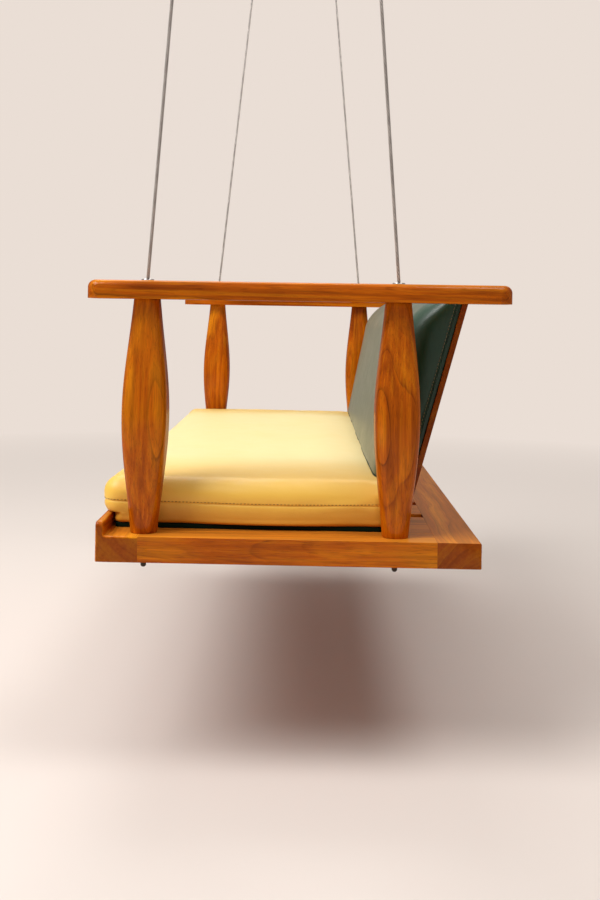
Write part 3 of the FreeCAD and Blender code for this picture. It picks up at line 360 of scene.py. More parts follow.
def rope_metal():
    """Steel wire: wires read from each strand's own coordinates, with painted shade between wires and in the
    grooves between strands.
    """
    material, tree, shader = new_material("rope_steel")
    along = node(tree, "ShaderNodeUVMap", uv_map="wires").outputs[0]
    outer = node(tree, "ShaderNodeSeparateXYZ", {0: node(tree, "ShaderNodeUVMap", uv_map="outer").outputs[0]})
    wires = node(tree, "ShaderNodeTexWave", {"Vector": along, "Scale": 1 / math.tau * 3.2, "Distortion": 0.0},
                 bands_direction="X").outputs["Fac"]
    grime = noise_of(tree, coordinates(tree), 60, 4)
    dull = mixed(tree, 0.3, ROPE_STEEL, (0.08, 0.055, 0.045, 1))
    bright = mixed(tree, spread(tree, grime, 0.4, 0.65), dull, ROPE_STEEL)
    # painted shade: darker between the wires, and next, darker in the grooves between strands
    wired = mixed(tree, spread(tree, wires, 0, 0.35, 0.3, 0), bright, ROPE_GROOVE_SHADE)
    tree.links.new(mixed(tree, spread(tree, outer.outputs[0], 0.76, 0.9), ROPE_GROOVE_SHADE, wired),
                   shader.inputs["Base Color"])
    shader.inputs["Metallic"].default_value = 0.3
    shader.inputs["Roughness"].default_value = 0.38
    relief = node(tree, "ShaderNodeBump", {"Height": wires, "Strength": 0.5, "Distance": 0.0002}).outputs[0]
    tree.links.new(relief, shader.inputs["Normal"])
    return material


# Pieces

def new_piece(name, mesh, body, material):
    piece = bpy.data.objects.new(name, mesh)
    bpy.context.scene.collection.objects.link(piece)
    mesh.materials.append(material)
    mesh.shade_smooth()
    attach(piece, body)
    return piece


def mesh_of(name, points, faces):
    mesh = bpy.data.meshes.new(name)
    mesh.from_pydata([tuple(p) for p in points], [], faces)
    mesh.update()
    return mesh


# Wire ropes: six strands laid right-handed round a route

ROPE_DIAMETER = 0.006
ROPE_LAY = 0.034
STRANDS = 6
STEPS_PER_TURN = 12
STRAND_SIDES = 8
PIVOT = Vector((0.716, 0.220, -1.102))
PIN = Vector((0.84284, 0.12572, -0.045))
EYE_DROP = 0.00213
EYE_LONG = 0.034
FERRULE_LONG = 0.028
EYE_LOOP_RADIUS = 0.0131
EYE_LEG_SPREAD = 0.0034


def smooth_route(name, points):
    """Points along the NURBS line that has these control points."""
    curve = bpy.data.curves.new(name, "CURVE")
    curve.dimensions = "3D"
    curve.resolution_u = 12
    spline = curve.splines.new("NURBS")
    spline.points.add(len(points) - 1)
    for slot, point in zip(spline.points, points):
        slot.co = (*point, 1)
    spline.order_u = 3
    spline.use_endpoint_u = True
    holder = bpy.data.objects.new(name, curve)
    bpy.context.scene.collection.objects.link(holder)
    line = bpy.data.meshes.new_from_object(holder)
    route = [v.co.copy() for v in line.vertices]
    bpy.data.objects.remove(holder)
    bpy.data.meshes.remove(line)
    return route


def resampled(route, step):
    """Evenly spaced points along a route."""
    steps = [0.0]
    for a, b in zip(route, route[1:]):
        steps.append(steps[-1] + (b - a).length)
    count = max(2, round(steps[-1] / step))
    points, at = [], 0
    for i in range(count + 1):
        distance = steps[-1] * i / count
        while at < len(route) - 2 and steps[at + 1] < distance:
            at += 1
        share = (distance - steps[at]) / max(steps[at + 1] - steps[at], 1e-9)
        points.append(route[at].lerp(route[at + 1], share))
    return points, steps[-1] / count


def frames_along(points):
    """A pair of directions across the line at each point, carried along without twist."""
    tangents = [(points[min(i + 1, len(points) - 1)] - points[max(i - 1, 0)]).normalized()
                for i in range(len(points))]
    across = tangents[0].orthogonal().normalized()
    result = []
    for tangent in tangents:
        across = (across - tangent * across.dot(tangent)).normalized()
        result.append((across, tangent.cross(across)))
    return result


def stranded(name, route):
    """A mesh of the rope's strands along a route."""
    points, step = resampled(route, ROPE_LAY / STEPS_PER_TURN)
    frames = frames_along(points)
    strand_radius = ROPE_DIAMETER / 6
    helix_radius = ROPE_DIAMETER / 3
    verts, faces, coords, outer = [], [], [], []
    for strand in range(STRANDS):
        line, radial = [], []
        for i, (point, (across, over)) in enumerate(zip(points, frames)):
            angle = math.tau * (strand / STRANDS + i * step / ROPE_LAY)
            radial.append(across * math.cos(angle) + over * math.sin(angle))
            line.append(point + radial[-1] * helix_radius)
        first = len(verts)
        for i, (point, (across, over)) in enumerate(zip(line, frames_along(line))):
            for side in range(STRAND_SIDES):
                turn = math.tau * side / STRAND_SIDES
                away = across * math.cos(turn) + over * math.sin(turn)
                verts.append(point + away * strand_radius)
                outer.append((1 + away.dot(radial[i])) / 2)
        for i in range(len(line) - 1):
            for side in range(STRAND_SIDES):
                following = (side + 1) % STRAND_SIDES
                a, b = first + i * STRAND_SIDES, first + (i + 1) * STRAND_SIDES
                faces.append((a + side, a + following, b + following, b + side))
                u0, u1 = side * WIRES_PER_STRAND / STRAND_SIDES, (side + 1) * WIRES_PER_STRAND / STRAND_SIDES
                slant = WIRES_PER_STRAND / STEPS_PER_TURN
                coords += [(u0 + i * slant, i), (u1 + i * slant, i), (u1 + (i + 1) * slant, i + 1),
                           (u0 + (i + 1) * slant, i + 1)]
        last = len(verts) - STRAND_SIDES
        faces.append(tuple(first + side for side in reversed(range(STRAND_SIDES))))
        faces.append(tuple(last + side for side in range(STRAND_SIDES)))
        coords += [(0, 0)] * (2 * STRAND_SIDES)
    mesh = mesh_of(name, verts, faces)
    wires = mesh.uv_layers.new(name="wires")
    depth = mesh.uv_layers.new(name="outer")
    for loop, place in zip(mesh.loops, coords):
        wires.data[loop.index].uv = place
        depth.data[loop.index].uv = (outer[loop.vertex_index], 0)
    return mesh


def make_rope(end, side, material):
    """One rope with its eye, from the collar on the arm board up to the pin in its bracket."""
    across_sign = 1 if end == "right" else -1
    back_sign = 1 if side == "rear" else -1
    pivot = Vector((across_sign * PIVOT.x, back_sign * PIVOT.y, PIVOT.z))
    pin = Vector((across_sign * PIN.x, back_sign * PIN.y, PIN.z))
    up = (pin - pivot).normalized()
    long = (pin - pivot).length - EYE_DROP - EYE_LONG - FERRULE_LONG
    body = "rear_ropes" if side == "rear" else "front_ropes"
    route = smooth_route("route", [pivot + up * long * share for share in (0, 0.25, 0.5, 0.75, 1)])
    rope = new_piece(f"steel_rope_{side}_{end}", stranded("rope", route), body, material)
    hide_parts(f"rope_{side}_{end}")

    axis = (Vector((1, 0, 0)) - up * up.x).normalized()
    aside = up.cross(axis)
    centre = pin - up * EYE_DROP
    # control points of the eye: legs up from the ferrule, then round the thimble
    reach = EYE_LOOP_RADIUS / math.cos(math.radians(15))
    loop = [(EYE_LEG_SPREAD, -EYE_LONG - 0.004), (EYE_LEG_SPREAD + 0.0008, -EYE_LONG + 0.004)]
    loop += [(reach * math.cos(math.radians(a)), reach * math.sin(math.radians(a)))
             for a in range(-30, 211, 30)]
    loop += [(-y, z) for y, z in reversed(loop[:2])]
    eye_route = smooth_route("eye_route", [centre + aside * y + up * z for y, z in loop])
    eye = new_piece(f"steel_eye_{side}_{end}", stranded("eye", eye_route), body, material)
    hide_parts(f"rope_eye_{side}_{end}")


# Cushions

def lattice(half_long, half_deep, levels, cell):
    """A closed box's surface as a grid: points, and faces that look outwards."""
    wide = max(2, round(2 * half_long / cell))
    deep = max(2, round(2 * half_deep / cell))
    tall = len(levels) - 1
    index, points, faces = {}, [], []

    def point(i, j, k):
        if (i, j, k) not in index:
            index[i, j, k] = len(points)
            points.append(Vector((half_long * (2 * i / wide - 1), half_deep * (2 * j / deep - 1), levels[k])))
        return index[i, j, k]

    for i in range(wide):
        for j in range(deep):
            for k, flip in ((0, True), (tall, False)):
                face = [point(i, j, k), point(i + 1, j, k), point(i + 1, j + 1, k), point(i, j + 1, k)]
                faces.append(tuple(reversed(face)) if flip else tuple(face))
    for k in range(tall):
        for i in range(wide):
            for j, flip in ((0, False), (deep, True)):
                face = [point(i, j, k), point(i + 1, j, k), point(i + 1, j, k + 1), point(i, j, k + 1)]
                faces.append(tuple(reversed(face)) if flip else tuple(face))
        for j in range(deep):
            for i, flip in ((0, True), (wide, False)):
                face = [point(i, j, k), point(i, j + 1, k), point(i, j + 1, k + 1), point(i, j, k + 1)]
                faces.append(tuple(reversed(face)) if flip else tuple(face))
    return points, faces


def rounded(point, half_long, half_deep, thick, corner, top_round, low_round):
    """The point of a box's surface moved onto the same box with rounded corners and edges.

    Also gives the direction inwards across the side, and how near the point is to the side.
    """
    x, y, z = point
    inside = min(half_long - abs(x), half_deep - abs(y))
    over_x = max(0.0, abs(x) - (half_long - corner))
    over_y = max(0.0, abs(y) - (half_deep - corner))
    if over_x > 0 and over_y > 0:
        shrink = max(over_x, over_y) / math.hypot(over_x, over_y)
        inward = Vector((-math.copysign(over_x, x), -math.copysign(over_y, y), 0)).normalized()
        x = math.copysign(half_long - corner + over_x * shrink, x)
        y = math.copysign(half_deep - corner + over_y * shrink, y)
    elif half_long - abs(x) < half_deep - abs(y):
        inward = Vector((-math.copysign(1, x), 0, 0))
    else:
        inward = Vector((0, -math.copysign(1, y), 0))
    upper = z > thick / 2
    radius = top_round if upper else low_round
    out = max(0.0, radius - inside)
    rise = max(0.0, (z if upper else thick - z) - (thick - radius))
    if out > 0 and rise > 0:
        shrink = max(out, rise) / math.hypot(out, rise)
        moved = out * (1 - shrink)
        rise *= shrink
        z = thick - radius + rise if upper else radius - rise
        x, y, _ = Vector((x, y, z)) + inward * moved
    return Vector((x, y, z)), inward, inside


# frames that a cover swells for, and the height over which its held underside comes free
RELAX_FRAMES = 20
HELD_HEIGHT = 0.02


def relax(piece_mesh, pressure, cap):
    """Lets a closed cover swell as cloth under pressure, moving no point further than cap."""
    start = [v.co.copy() for v in piece_mesh.vertices]
    cover = bpy.data.objects.new("cover", piece_mesh)
    scene = bpy.context.scene
    scene.collection.objects.link(cover)
    cloth = cover.modifiers.new("cloth", "CLOTH")
    settings = cloth.settings
    settings.quality = 6
    settings.mass = 0.4
    settings.tension_stiffness = 40
    settings.compression_stiffness = 40
    settings.shear_stiffness = 15
    settings.bending_stiffness = 1.5
    settings.use_pressure = True
    settings.uniform_pressure_force = pressure
    settings.shrink_min = -0.012
    settings.effector_weights.gravity = 0
    cloth.collision_settings.use_collision = False
    for step in range(1, RELAX_FRAMES + 1):
        scene.frame_set(step)
    graph = bpy.context.evaluated_depsgraph_get()
    swollen = [v.co.copy() for v in cover.evaluated_get(graph).data.vertices]
    scene.frame_set(1)
    cover.modifiers.remove(cloth)
    bpy.data.objects.remove(cover)
    for vertex, before, after in zip(piece_mesh.vertices, start, swollen):
        # the underside stays on its board
        move = (after - before) * min(1.0, before.z / HELD_HEIGHT)
        vertex.co = before + move * min(1.0, cap / max(move.length, 1e-9))


def stitch_row(name, seats, pitch, long, thick):
    """Short round-ended stitches lying along a closed line of (point, outward) pairs."""
    verts, faces = [], []
    ring_shares = ((-0.5, 0.35), (-0.3, 0.9), (0.0, 1.0), (0.3, 0.9), (0.5, 0.35))
    sides = 6
    points = [p for p, _ in seats]
    total = sum((b - a).length for a, b in zip(points, points[1:]))
    count = round(total / pitch)
    at, passed = 0, 0.0
    for i in range(count):
        distance = total * (i + 0.5) / count
        while passed + (points[at + 1] - points[at]).length < distance:
            passed += (points[at + 1] - points[at]).length
            at += 1
        along = (points[at + 1] - points[at])
        middle = points[at] + along * ((distance - passed) / along.length)
        along.normalize()
        outward = seats[at][1]
        across = along.cross(outward).normalized()
        first = len(verts)
        for place, girth in ring_shares:
            for side in range(sides):
                turn = math.tau * side / sides
                verts.append(middle + along * place * long
                             + (across * math.cos(turn) + outward * math.sin(turn)) * girth * thick / 2)
        for ring in range(len(ring_shares) - 1):
            for side in range(sides):
                a, b = first + ring * sides, first + (ring + 1) * sides
                following = (side + 1) % sides
                faces.append((a + side, a + following, b + following, b + side))
        faces.append(tuple(first + side for side in reversed(range(sides))))
        last = len(verts) - sides
        faces.append(tuple(last + side for side in range(sides)))
    return mesh_of(name, verts, faces)


def outline_of(half_long, half_deep, corner):
    """A closed outline with rounded corners, as (x, y, across, over): a place and its way outwards."""
    turns = []
    for quarter, (side_x, side_y) in enumerate(((1, 1), (-1, 1), (-1, -1), (1, -1))):
        for i in range(9):
            bearing = math.radians(90 * (quarter + i / 8))
            away = (math.cos(bearing), math.sin(bearing))
            turns.append((side_x * (half_long - corner) + corner * away[0],
                          side_y * (half_deep - corner) + corner * away[1], *away))
    turns.append(turns[0])
    outline = []
    for here, there in zip(turns, turns[1:]):
        count = max(1, round(math.dist(here[:2], there[:2]) / 0.014))
        outline += [tuple(a + (b - a) * i / count for a, b in zip(here, there)) for i in range(count)]
    return outline + [turns[0]]


def seam_seats(tree, outline, place):
    """Where a cover's surface lies along an outline, seen from outside, and which way it faces there."""
    seats = []
    for x, y, across, over in outline:
        origin = place(x + 0.06 * across, y + 0.06 * over)
        hit, normal, _, _ = tree.ray_cast(origin, place(x, y) - origin)
        if hit is not None:
            seats.append((hit, normal))
    return seats


# the seat cushion's sizes, over its board and over the lip of the front beam
SEAT_HALF = 0.686
SEAT_FRONT, SEAT_BACK = -0.3036, 0.222
SEAT_LOW = DECK + 0.0088
SEAT_THICK = 0.0795
SEAT_CORNER = 0.03
SEAT_CROWN = 0.0045
SEAT_TOP_ROUND, SEAT_LOW_ROUND = 0.03, 0.005
COVER_CELL = 0.009
# how far its front and its rear are drawn in midway, and how far from the edge that reaches
SEAT_FRONT_DRAW, SEAT_REAR_DRAW = 0.0068, 0.003
SEAT_DRAW_REACH = 0.05
# its ends swell out between their posts, and the ends of its top slope down
SEAT_END_SWELL, SEAT_SWELL_REACH = 0.009, 0.19
SEAT_END_SLOPE, SEAT_SLOPE_START = 0.004, 0.75
# the seam's level, and the levels of the rows added round it and where the front meets the lip
SEAT_SEAM = 0.0372
SEAM_ROWS = [SEAT_SEAM + away for away in (-0.005, -0.0022, -0.0009, 0, 0.0009, 0.0022, 0.005)]
LIP_ROWS = [0.0165, 0.0172, 0.0179, 0.0186, 0.022, 0.027]
ROW_SNAP = 0.0004
# the front rounds off below a level, and lower still it steps back behind the lip
SEAT_ROUND_OFF = 0.007
SEAT_ROUND_LEVEL, SEAT_ROUND_TALL = 0.034, 0.016
SEAT_STEP_LEVEL, SEAT_STEP_TALL = 0.0165, 0.002
SEAT_BEHIND_LIP = 0.0212
# the back cushion's foot presses on the top behind this place
SEAT_PRESSED_FROM, SEAT_PRESSED_RUN, SEAT_PRESSED_DEEP = 0.160, 0.025, 0.0015
# stitches of both cushions
STITCH_PITCH, STITCH_THICK = 0.0065, 0.0013


def eased(share):
    """A share of 0 to 1 that starts and ends softly."""
    return share * share * (3 - 2 * share)


def seam_dip(away):
    """How far the cover is pulled in near a seam: a narrow groove with a soft valley round it."""
    return 0.0012 * math.exp(-(away / 0.0011) ** 2) + 0.0009 * math.exp(-(away / 0.006) ** 2)


def seam_sag(x, y, half_deep):
    """How far the seat cushion's seam hangs below its level, between the corners."""
    along = x / SEAT_HALF if abs(y) / half_deep > abs(x) / SEAT_HALF else y / half_deep
    return 0.0022 * (1 - along ** 2) + 0.0016 * noise.noise(Vector((x * 5, y * 5, 5)))


def seat_form():
    """The seat cushion's cover before its seams are sewn, on its own middle."""
    half_deep = (SEAT_BACK - SEAT_FRONT) / 2
    levels = [SEAT_THICK * k / 10 for k in range(11)]
    points, faces = lattice(SEAT_HALF, half_deep, levels, COVER_CELL)
    shaped = []
    for point in points:
        moved, inward, inside = rounded(point, SEAT_HALF, half_deep, SEAT_THICK, SEAT_CORNER,
                                        SEAT_TOP_ROUND, SEAT_LOW_ROUND)
        along_x, along_y = moved.x / SEAT_HALF, moved.y / half_deep
        crown = SEAT_CROWN * (1 - along_x ** 4) * (1 - along_y ** 4) * max(0.0, moved.z / SEAT_THICK) ** 2
        near_side = max(0.0, 1 - inside / SEAT_DRAW_REACH)
        if abs(inward.y) > 0.5:
            draw = SEAT_FRONT_DRAW if inward.y > 0 else SEAT_REAR_DRAW
            draw *= near_side * (1 - along_x ** 2)
        else:
            between = max(0.0, 1 - ((moved.y + (SEAT_FRONT + SEAT_BACK) / 2) / SEAT_SWELL_REACH) ** 2)
            draw = -SEAT_END_SWELL * near_side * between ** 2
        towards_end = max(0.0, abs(along_x) - SEAT_SLOPE_START) / (1 - SEAT_SLOPE_START)
        slope = SEAT_END_SLOPE * towards_end ** 2 * max(0.0, moved.z / SEAT_THICK) ** 2
        shaped.append(moved + inward * draw + Vector((0, 0, crown - slope)))
    return mesh_of("seat_cover", shaped, faces)


def make_seat_cushion(material, thread_material):
    mesh = seat_form()
    relax(mesh, 3.0, 0.003)
    half_deep = (SEAT_BACK - SEAT_FRONT) / 2
    middle = (SEAT_BACK + SEAT_FRONT) / 2
    grown = bmesh.new()
    grown.from_mesh(mesh)
    bmesh.ops.subdivide_edges(grown, edges=grown.edges, cuts=1, use_grid_fill=True, smooth=1.0)
    for level in SEAM_ROWS + LIP_ROWS:
        bmesh.ops.bisect_plane(grown, geom=grown.verts[:] + grown.edges[:] + grown.faces[:],
                               dist=ROW_SNAP, plane_co=(0, 0, level), plane_no=(0, 0, 1),
                               use_snap_center=True)
    grown.normal_update()
    for vertex in grown.verts:
        point, out = vertex.co, vertex.normal.copy()
        upright = max(0.0, 1 - abs(out.z) * 1.4)
        away = point.z - SEAT_SEAM
        dip = seam_dip(away) * upright
        sag = seam_sag(point.x, point.y, half_deep) * math.exp(-(away / 0.022) ** 2) * upright
        folds = 0.0011 * noise.noise(Vector((point.x * 26, point.y * 26, point.z * 9 + 3)))
        puckers = 0.0009 * noise.noise(Vector((point.x * 90, point.y * 90, 11)))
        puckers *= math.exp(-(away / 0.012) ** 2)
        swell = 0.0016 * noise.noise(Vector((point.x * 6, point.y * 7, 1)))
        level = point.z
        vertex.co = point + out * ((folds + puckers) * upright + swell * (1 - upright) - dip)
        vertex.co.z -= sag
        front_share = min(1.0, max(0.0, (-vertex.co.y / half_deep - 0.8) / 0.2))
        low = min(1.0, max(0.0, (SEAT_ROUND_LEVEL - level) / SEAT_ROUND_TALL))
        step_back = eased(1 - min(1.0, max(0.0, (level - SEAT_STEP_LEVEL) / SEAT_STEP_TALL)))
        vertex.co.y += front_share * (SEAT_ROUND_OFF * low ** 2
                                      + (SEAT_BEHIND_LIP - SEAT_ROUND_OFF) * step_back)
        pressed = eased(min(1.0, max(0.0, (vertex.co.y + middle - SEAT_PRESSED_FROM) / SEAT_PRESSED_RUN)))
        vertex.co.z -= SEAT_PRESSED_DEEP * pressed * min(1.0, level / SEAT_THICK)
        vertex.co.z = max(vertex.co.z, 0.0)
        vertex.co += Vector((0, middle, SEAT_LOW))
    bmesh.ops.recalc_face_normals(grown, faces=grown.faces)
    grown.to_mesh(mesh)
    tree = BVHTree.FromBMesh(grown)
    grown.free()
    cushion = new_piece("seat_pad", mesh, "seat", material)
    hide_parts("seat_cushion")

    # one row of stitches just over the seam, all round
    seats = seam_seats(tree, outline_of(SEAT_HALF, half_deep, SEAT_CORNER),
                       lambda x, y: Vector((x, middle + y,
                                            SEAT_LOW + SEAT_SEAM + 0.0028 - seam_sag(x, y, half_deep))))
    row = stitch_row("stitches", seats, STITCH_PITCH, 0.0044, STITCH_THICK)
    new_piece("seat_pad_stitches", row, "seat", thread_material)


# the back cushion's frame: forward from the panel's rear face, and up along it
BACK_LEAN = math.radians(15)
BACK_FOOT = 0.239
BACK_HALF = 0.665
BACK_BEHIND = 0.0181
BACK_RISE, BACK_TALL = 0.0738, 0.3642
BACK_FOOT_THICK, BACK_TOP_THICK = 0.0512, 0.082
BACK_EDGE_THICK = 0.007
BACK_CORNER = 0.02
# how far from its ends and its top it rounds off, and how much its middle and its foot bulge
BACK_END_REACH, BACK_TOP_REACH = 0.062, 0.1
BACK_BULGE, BACK_FOOT_BULGE = 0.003, 0.0085
# how much the foot's front edge is rounded, over what height
BACK_FOOT_ROUND, BACK_FOOT_ROUND_TALL = 0.004, 0.006
# the welt's radius, its height over the foot, how far it stops short of the ends, and its points
WELT_RADIUS, WELT_RISE, WELT_SHORT, WELT_POINTS = 0.0026, 0.0022, 0.012, 161
BOARD_BEHIND, BOARD_THICK = 0.0098, 0.008
BOARD_RISE, BOARD_TALL = 0.018, 0.425


def leaning(x, forward, rise):
    return Vector((x, BACK_FOOT - forward * math.cos(BACK_LEAN) + rise * math.sin(BACK_LEAN),
                   DECK + forward * math.sin(BACK_LEAN) + rise * math.cos(BACK_LEAN)))


def rounding(inside, reach, power):
    """How full a cushion is near its edge: 0 at the edge, 1 once it is a reach inside."""
    return (1 - min(1.0, max(0.0, 1 - inside / reach)) ** power) ** (1 / power)


def drawn_out(place, half, reach):
    """Moves the points of the last reach before an end nearer to that end."""
    inside = max(0.0, half - abs(place))
    if inside >= reach:
        return place
    return math.copysign(half - reach * (inside / reach) ** 1.5, place)


def round_bar(name, points, radius):
    """A mesh of a round bar along a line of points."""
    sides = 10
    verts, faces = [], []
    for point, (across, over) in zip(points, frames_along(points)):
        for side in range(sides):
            turn = math.tau * side / sides
            verts.append(point + (across * math.cos(turn) + over * math.sin(turn)) * radius)
    for i in range(len(points) - 1):
        for side in range(sides):
            a, b = i * sides, (i + 1) * sides
            following = (side + 1) % sides
            faces.append((a + side, a + following, b + following, b + side))
    last = len(verts) - sides
    faces.append(tuple(reversed(range(sides))))
    faces.append(tuple(last + side for side in range(sides)))
    return mesh_of(name, verts, faces)


def make_back_cushion(material, thread_material, welt_material):
    half_tall = BACK_TALL / 2
    levels = [k / 8 for k in range(9)]
    points, faces = lattice(BACK_HALF, half_tall, levels, COVER_CELL)
    shaped = []
    for point in points:
        x = drawn_out(point.x, BACK_HALF, BACK_END_REACH)
        y = drawn_out(point.y, half_tall, BACK_TOP_REACH) if point.y > 0 else point.y
        share = (y + half_tall) / BACK_TALL
        full = BACK_FOOT_THICK + (BACK_TOP_THICK - BACK_FOOT_THICK) * share
        full *= (rounding(BACK_HALF - abs(x), BACK_END_REACH, 2.1)
                 * rounding(half_tall - y, BACK_TOP_REACH, 1.5))
        full += BACK_BULGE * (1 - (x / BACK_HALF) ** 2) * math.sin(math.pi * min(1.0, share + 0.12))
        full += BACK_FOOT_BULGE * (1 - (abs(x) / BACK_HALF) ** 6) * max(0.0, 1 - share / 0.7) ** 1.5
        full -= BACK_FOOT_ROUND * max(0.0, 1 - (y + half_tall) / BACK_FOOT_ROUND_TALL) ** 2
        moved, _, _ = rounded(Vector((x, y, point.z)), BACK_HALF, half_tall, 1.0, BACK_CORNER, 0, 0)
        shaped.append(Vector((moved.x, moved.y, moved.z * max(full, BACK_EDGE_THICK))))
    mesh = mesh_of("back_cover", shaped, faces)
    relax(mesh, 2.0, 0.0025)
    grown = bmesh.new()
    grown.from_mesh(mesh)
    bmesh.ops.subdivide_edges(grown, edges=grown.edges, cuts=1, use_grid_fill=True, smooth=1.0)
    grown.normal_update()
    for vertex in grown.verts:
        point, out = vertex.co.copy(), vertex.normal.copy()
        forward_facing = max(0.0, out.z)
        folds = 0.0006 * noise.noise(Vector((point.x * 20, point.y * 20, point.z * 9 + 8)))
        swell = 0.0022 * noise.noise(Vector((point.x * 5, point.y * 7, 21)))
        point += out * (folds * (1 - forward_facing) + swell * forward_facing)
        point.y = max(point.y, -half_tall)
        vertex.co = leaning(point.x, BACK_BEHIND + max(point.z, 0.0), BACK_RISE + half_tall + point.y)
    bmesh.ops.recalc_face_normals(grown, faces=grown.faces)
    grown.to_mesh(mesh)
    tree = BVHTree.FromBMesh(grown)
    grown.free()
    cushion = new_piece("back_pad", mesh, "seat", material)
    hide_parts("back_cushion")

    # a piped seam along the foot's front edge
    seats = []
    for count in range(WELT_POINTS):
        x = (BACK_HALF - WELT_SHORT) * (2 * count / (WELT_POINTS - 1) - 1)
        origin = leaning(x, 0.12, BACK_RISE + WELT_RISE)
        hit, _, _, _ = tree.ray_cast(origin, leaning(x, 0, BACK_RISE + WELT_RISE) - origin)
        if hit is not None:
            seats.append(hit)
    new_piece("back_pad_welt", round_bar("welt", seats, WELT_RADIUS), "seat",
              welt_material)

    # a row of stitches where the cover meets its board
    seats = seam_seats(tree, outline_of(BACK_HALF, half_tall, BACK_CORNER),
                       lambda x, y: leaning(x, BACK_BEHIND + 0.003, BACK_RISE + half_tall + y))
    row = stitch_row("back_stitches", seats, STITCH_PITCH, 0.0046, STITCH_THICK)
    new_piece("back_pad_stitches", row, "seat", thread_material)


def upholstered_board(name, node_name, half_long, half_deep, thick, place, material):
    """A thin board wrapped in leatherette, with soft edges and a faint sag of its cover."""
    edge = 0.0012
    levels = [0, edge * 0.5, edge, thick / 2, thick - edge, thick - edge * 0.5, thick]
    points, faces = lattice(half_long, half_deep, levels, 0.012)
    shaped = []
    for point in points:
        moved, inward, inside = rounded(point, half_long, half_deep, thick, 0.004, edge, edge)
        wave = 0.0
        if inside < 0.002:
            wave = 0.0005 * (noise.noise(Vector((point.x * 14, point.y * 14, 2))) - 1)
        shaped.append(place(moved - inward * wave))
    board = new_piece(name, mesh_of(name, shaped, faces), "seat", material)
    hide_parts(node_name)
    soften = board.modifiers.new("soften", "SUBSURF")
    soften.levels = soften.render_levels = 1


def make_boards(seat_material, back_material):
    low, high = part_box("seat_board")
    middle = (low + high) / 2
    upholstered_board("seat_board_cover", "seat_board", (high.x - low.x) / 2, (high.y - low.y) / 2,
                      high.z - low.z,
                      lambda p: Vector((middle.x + p.x, middle.y + p.y, low.z + p.z)), seat_material)
    upholstered_board("back_board_cover", "back_board", BACK_HALF, BOARD_TALL / 2, BOARD_THICK,
                      lambda p: leaning(p.x, BOARD_BEHIND + p.z, BOARD_RISE + BOARD_TALL / 2 + p.y),
                      back_material)


# Timber: each piece's grain axis, where its pith runs and how it is tilted

def dress_timber():
    chosen = {
        "front_beam": ("X", (0.05, -0.06), (0.3, 0.5)),
        "back_beam": ("X", (-0.06, -0.05), (0.4, -0.4)),
        "side_rail_right": ("Y", (-0.09, 0.02), (0.6, 1.6)),
        "side_rail_left": ("Y", (0.08, 0.03), (0.8, -1.2)),
        "post_front_right": ("Z", (0.044, 0.012), (0.8, 2.4)),
        "post_back_right": ("Z", (0.052, -0.022), (-1.0, -1.8)),
        "post_front_left": ("Z", (0.038, 0.016), (1.2, -2.2)),
        "post_back_left": ("Z", (0.034, -0.02), (1.2, 2.0)),
        "armrest_right": ("Y", (-0.11, 0.03), (0.5, 0.9)),
        "armrest_left": ("Y", (0.1, 0.04), (0.4, -0.8)),
        "back_panel": ("X", (0.09, 0.12), (0.3, 0.8)),
        "centre_bearer": ("X", (0.05, 0.05), (0.5, 0.5)),
        "front_cleat": ("X", (0.04, 0.05), (0.5, 0.5)),
        "back_cleat": ("X", (0.05, 0.04), (0.5, 0.4)),
        "back_foot_batten": ("X", (0.04, 0.04), (0.4, 0.5)),
    }
    slats = sorted(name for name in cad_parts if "slat_" in name and "screws" not in name)
    for count, name in enumerate(slats):
        side = 1 if count % 2 else -1
        chosen[name] = ("Y", (side * (0.02 + 0.013 * (count % 4)), 0.05 + 0.01 * (count % 3)),
                        (0.8 * side, 1.1 - 0.4 * (count % 3)))
    for seed, (name, (axis, pith, tilt)) in enumerate(chosen.items(), start=1):
        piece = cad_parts[name]
        finish(piece, teak(name, axis, pith, tilt, seed))
        soften_edges(piece, 0.0016 if name.startswith(("post", "armrest")) else 0.0014)


def finish(piece, material):
    """Gives a CAD node a material in every slot."""
    if not piece.material_slots:
        piece.data.materials.append(material)
    for slot in piece.material_slots:
        slot.material = material


def soften_edges(piece, width):
    """Rounds a CAD node's sharp edges a little, as sanding does."""
    weld = piece.modifiers.new("weld", "WELD")
    weld.merge_threshold = 0.00002
    plain = piece.modifiers.new("plain_faces", "DECIMATE")
    plain.decimate_type = "DISSOLVE"
    plain.angle_limit = math.radians(0.2)
    bevel = piece.modifiers.new("sanded", "BEVEL")
    bevel.width = width
    bevel.segments = 3
    bevel.limit_method = "ANGLE"
    bevel.angle_limit = math.radians(50)
    bevel.use_clamp_overlap = True
    bevel.harden_normals = True


def dress_metal():
    bright = metal("bright_metal", BRIGHT_STEEL, 0.22)
    dark = metal("dark_metal", DARK_STEEL, 0.45)
    ferrule = metal("ferrule_alloy", FERRULE_METAL, 0.32, grain=(300, 300, 300))
    bracket = metal("bracket_plated", BRACKET_STEEL, 0.38, grain=(300, 1200, 300))
    for name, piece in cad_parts.items():
        if name.startswith("ferrule"):
            finish(piece, ferrule)
        elif name.startswith("ceiling_bracket"):
            finish(piece, bracket)
            soften_edges(piece, 0.0008)
        elif name.startswith(("hanger_rods", "base_", "slat_screws", "cleat_screws")):
            finish(piece, dark)
        elif name.startswith(("thimble", "rope_collars", "clevis", "split", "back_dowels")):
            finish(piece, bright)


# Floor, background and light

FLOOR_LEVEL = BASE_LOW - 0.365
FLOOR_RADIUS = 14.0
FLOOR_SIDES = 96


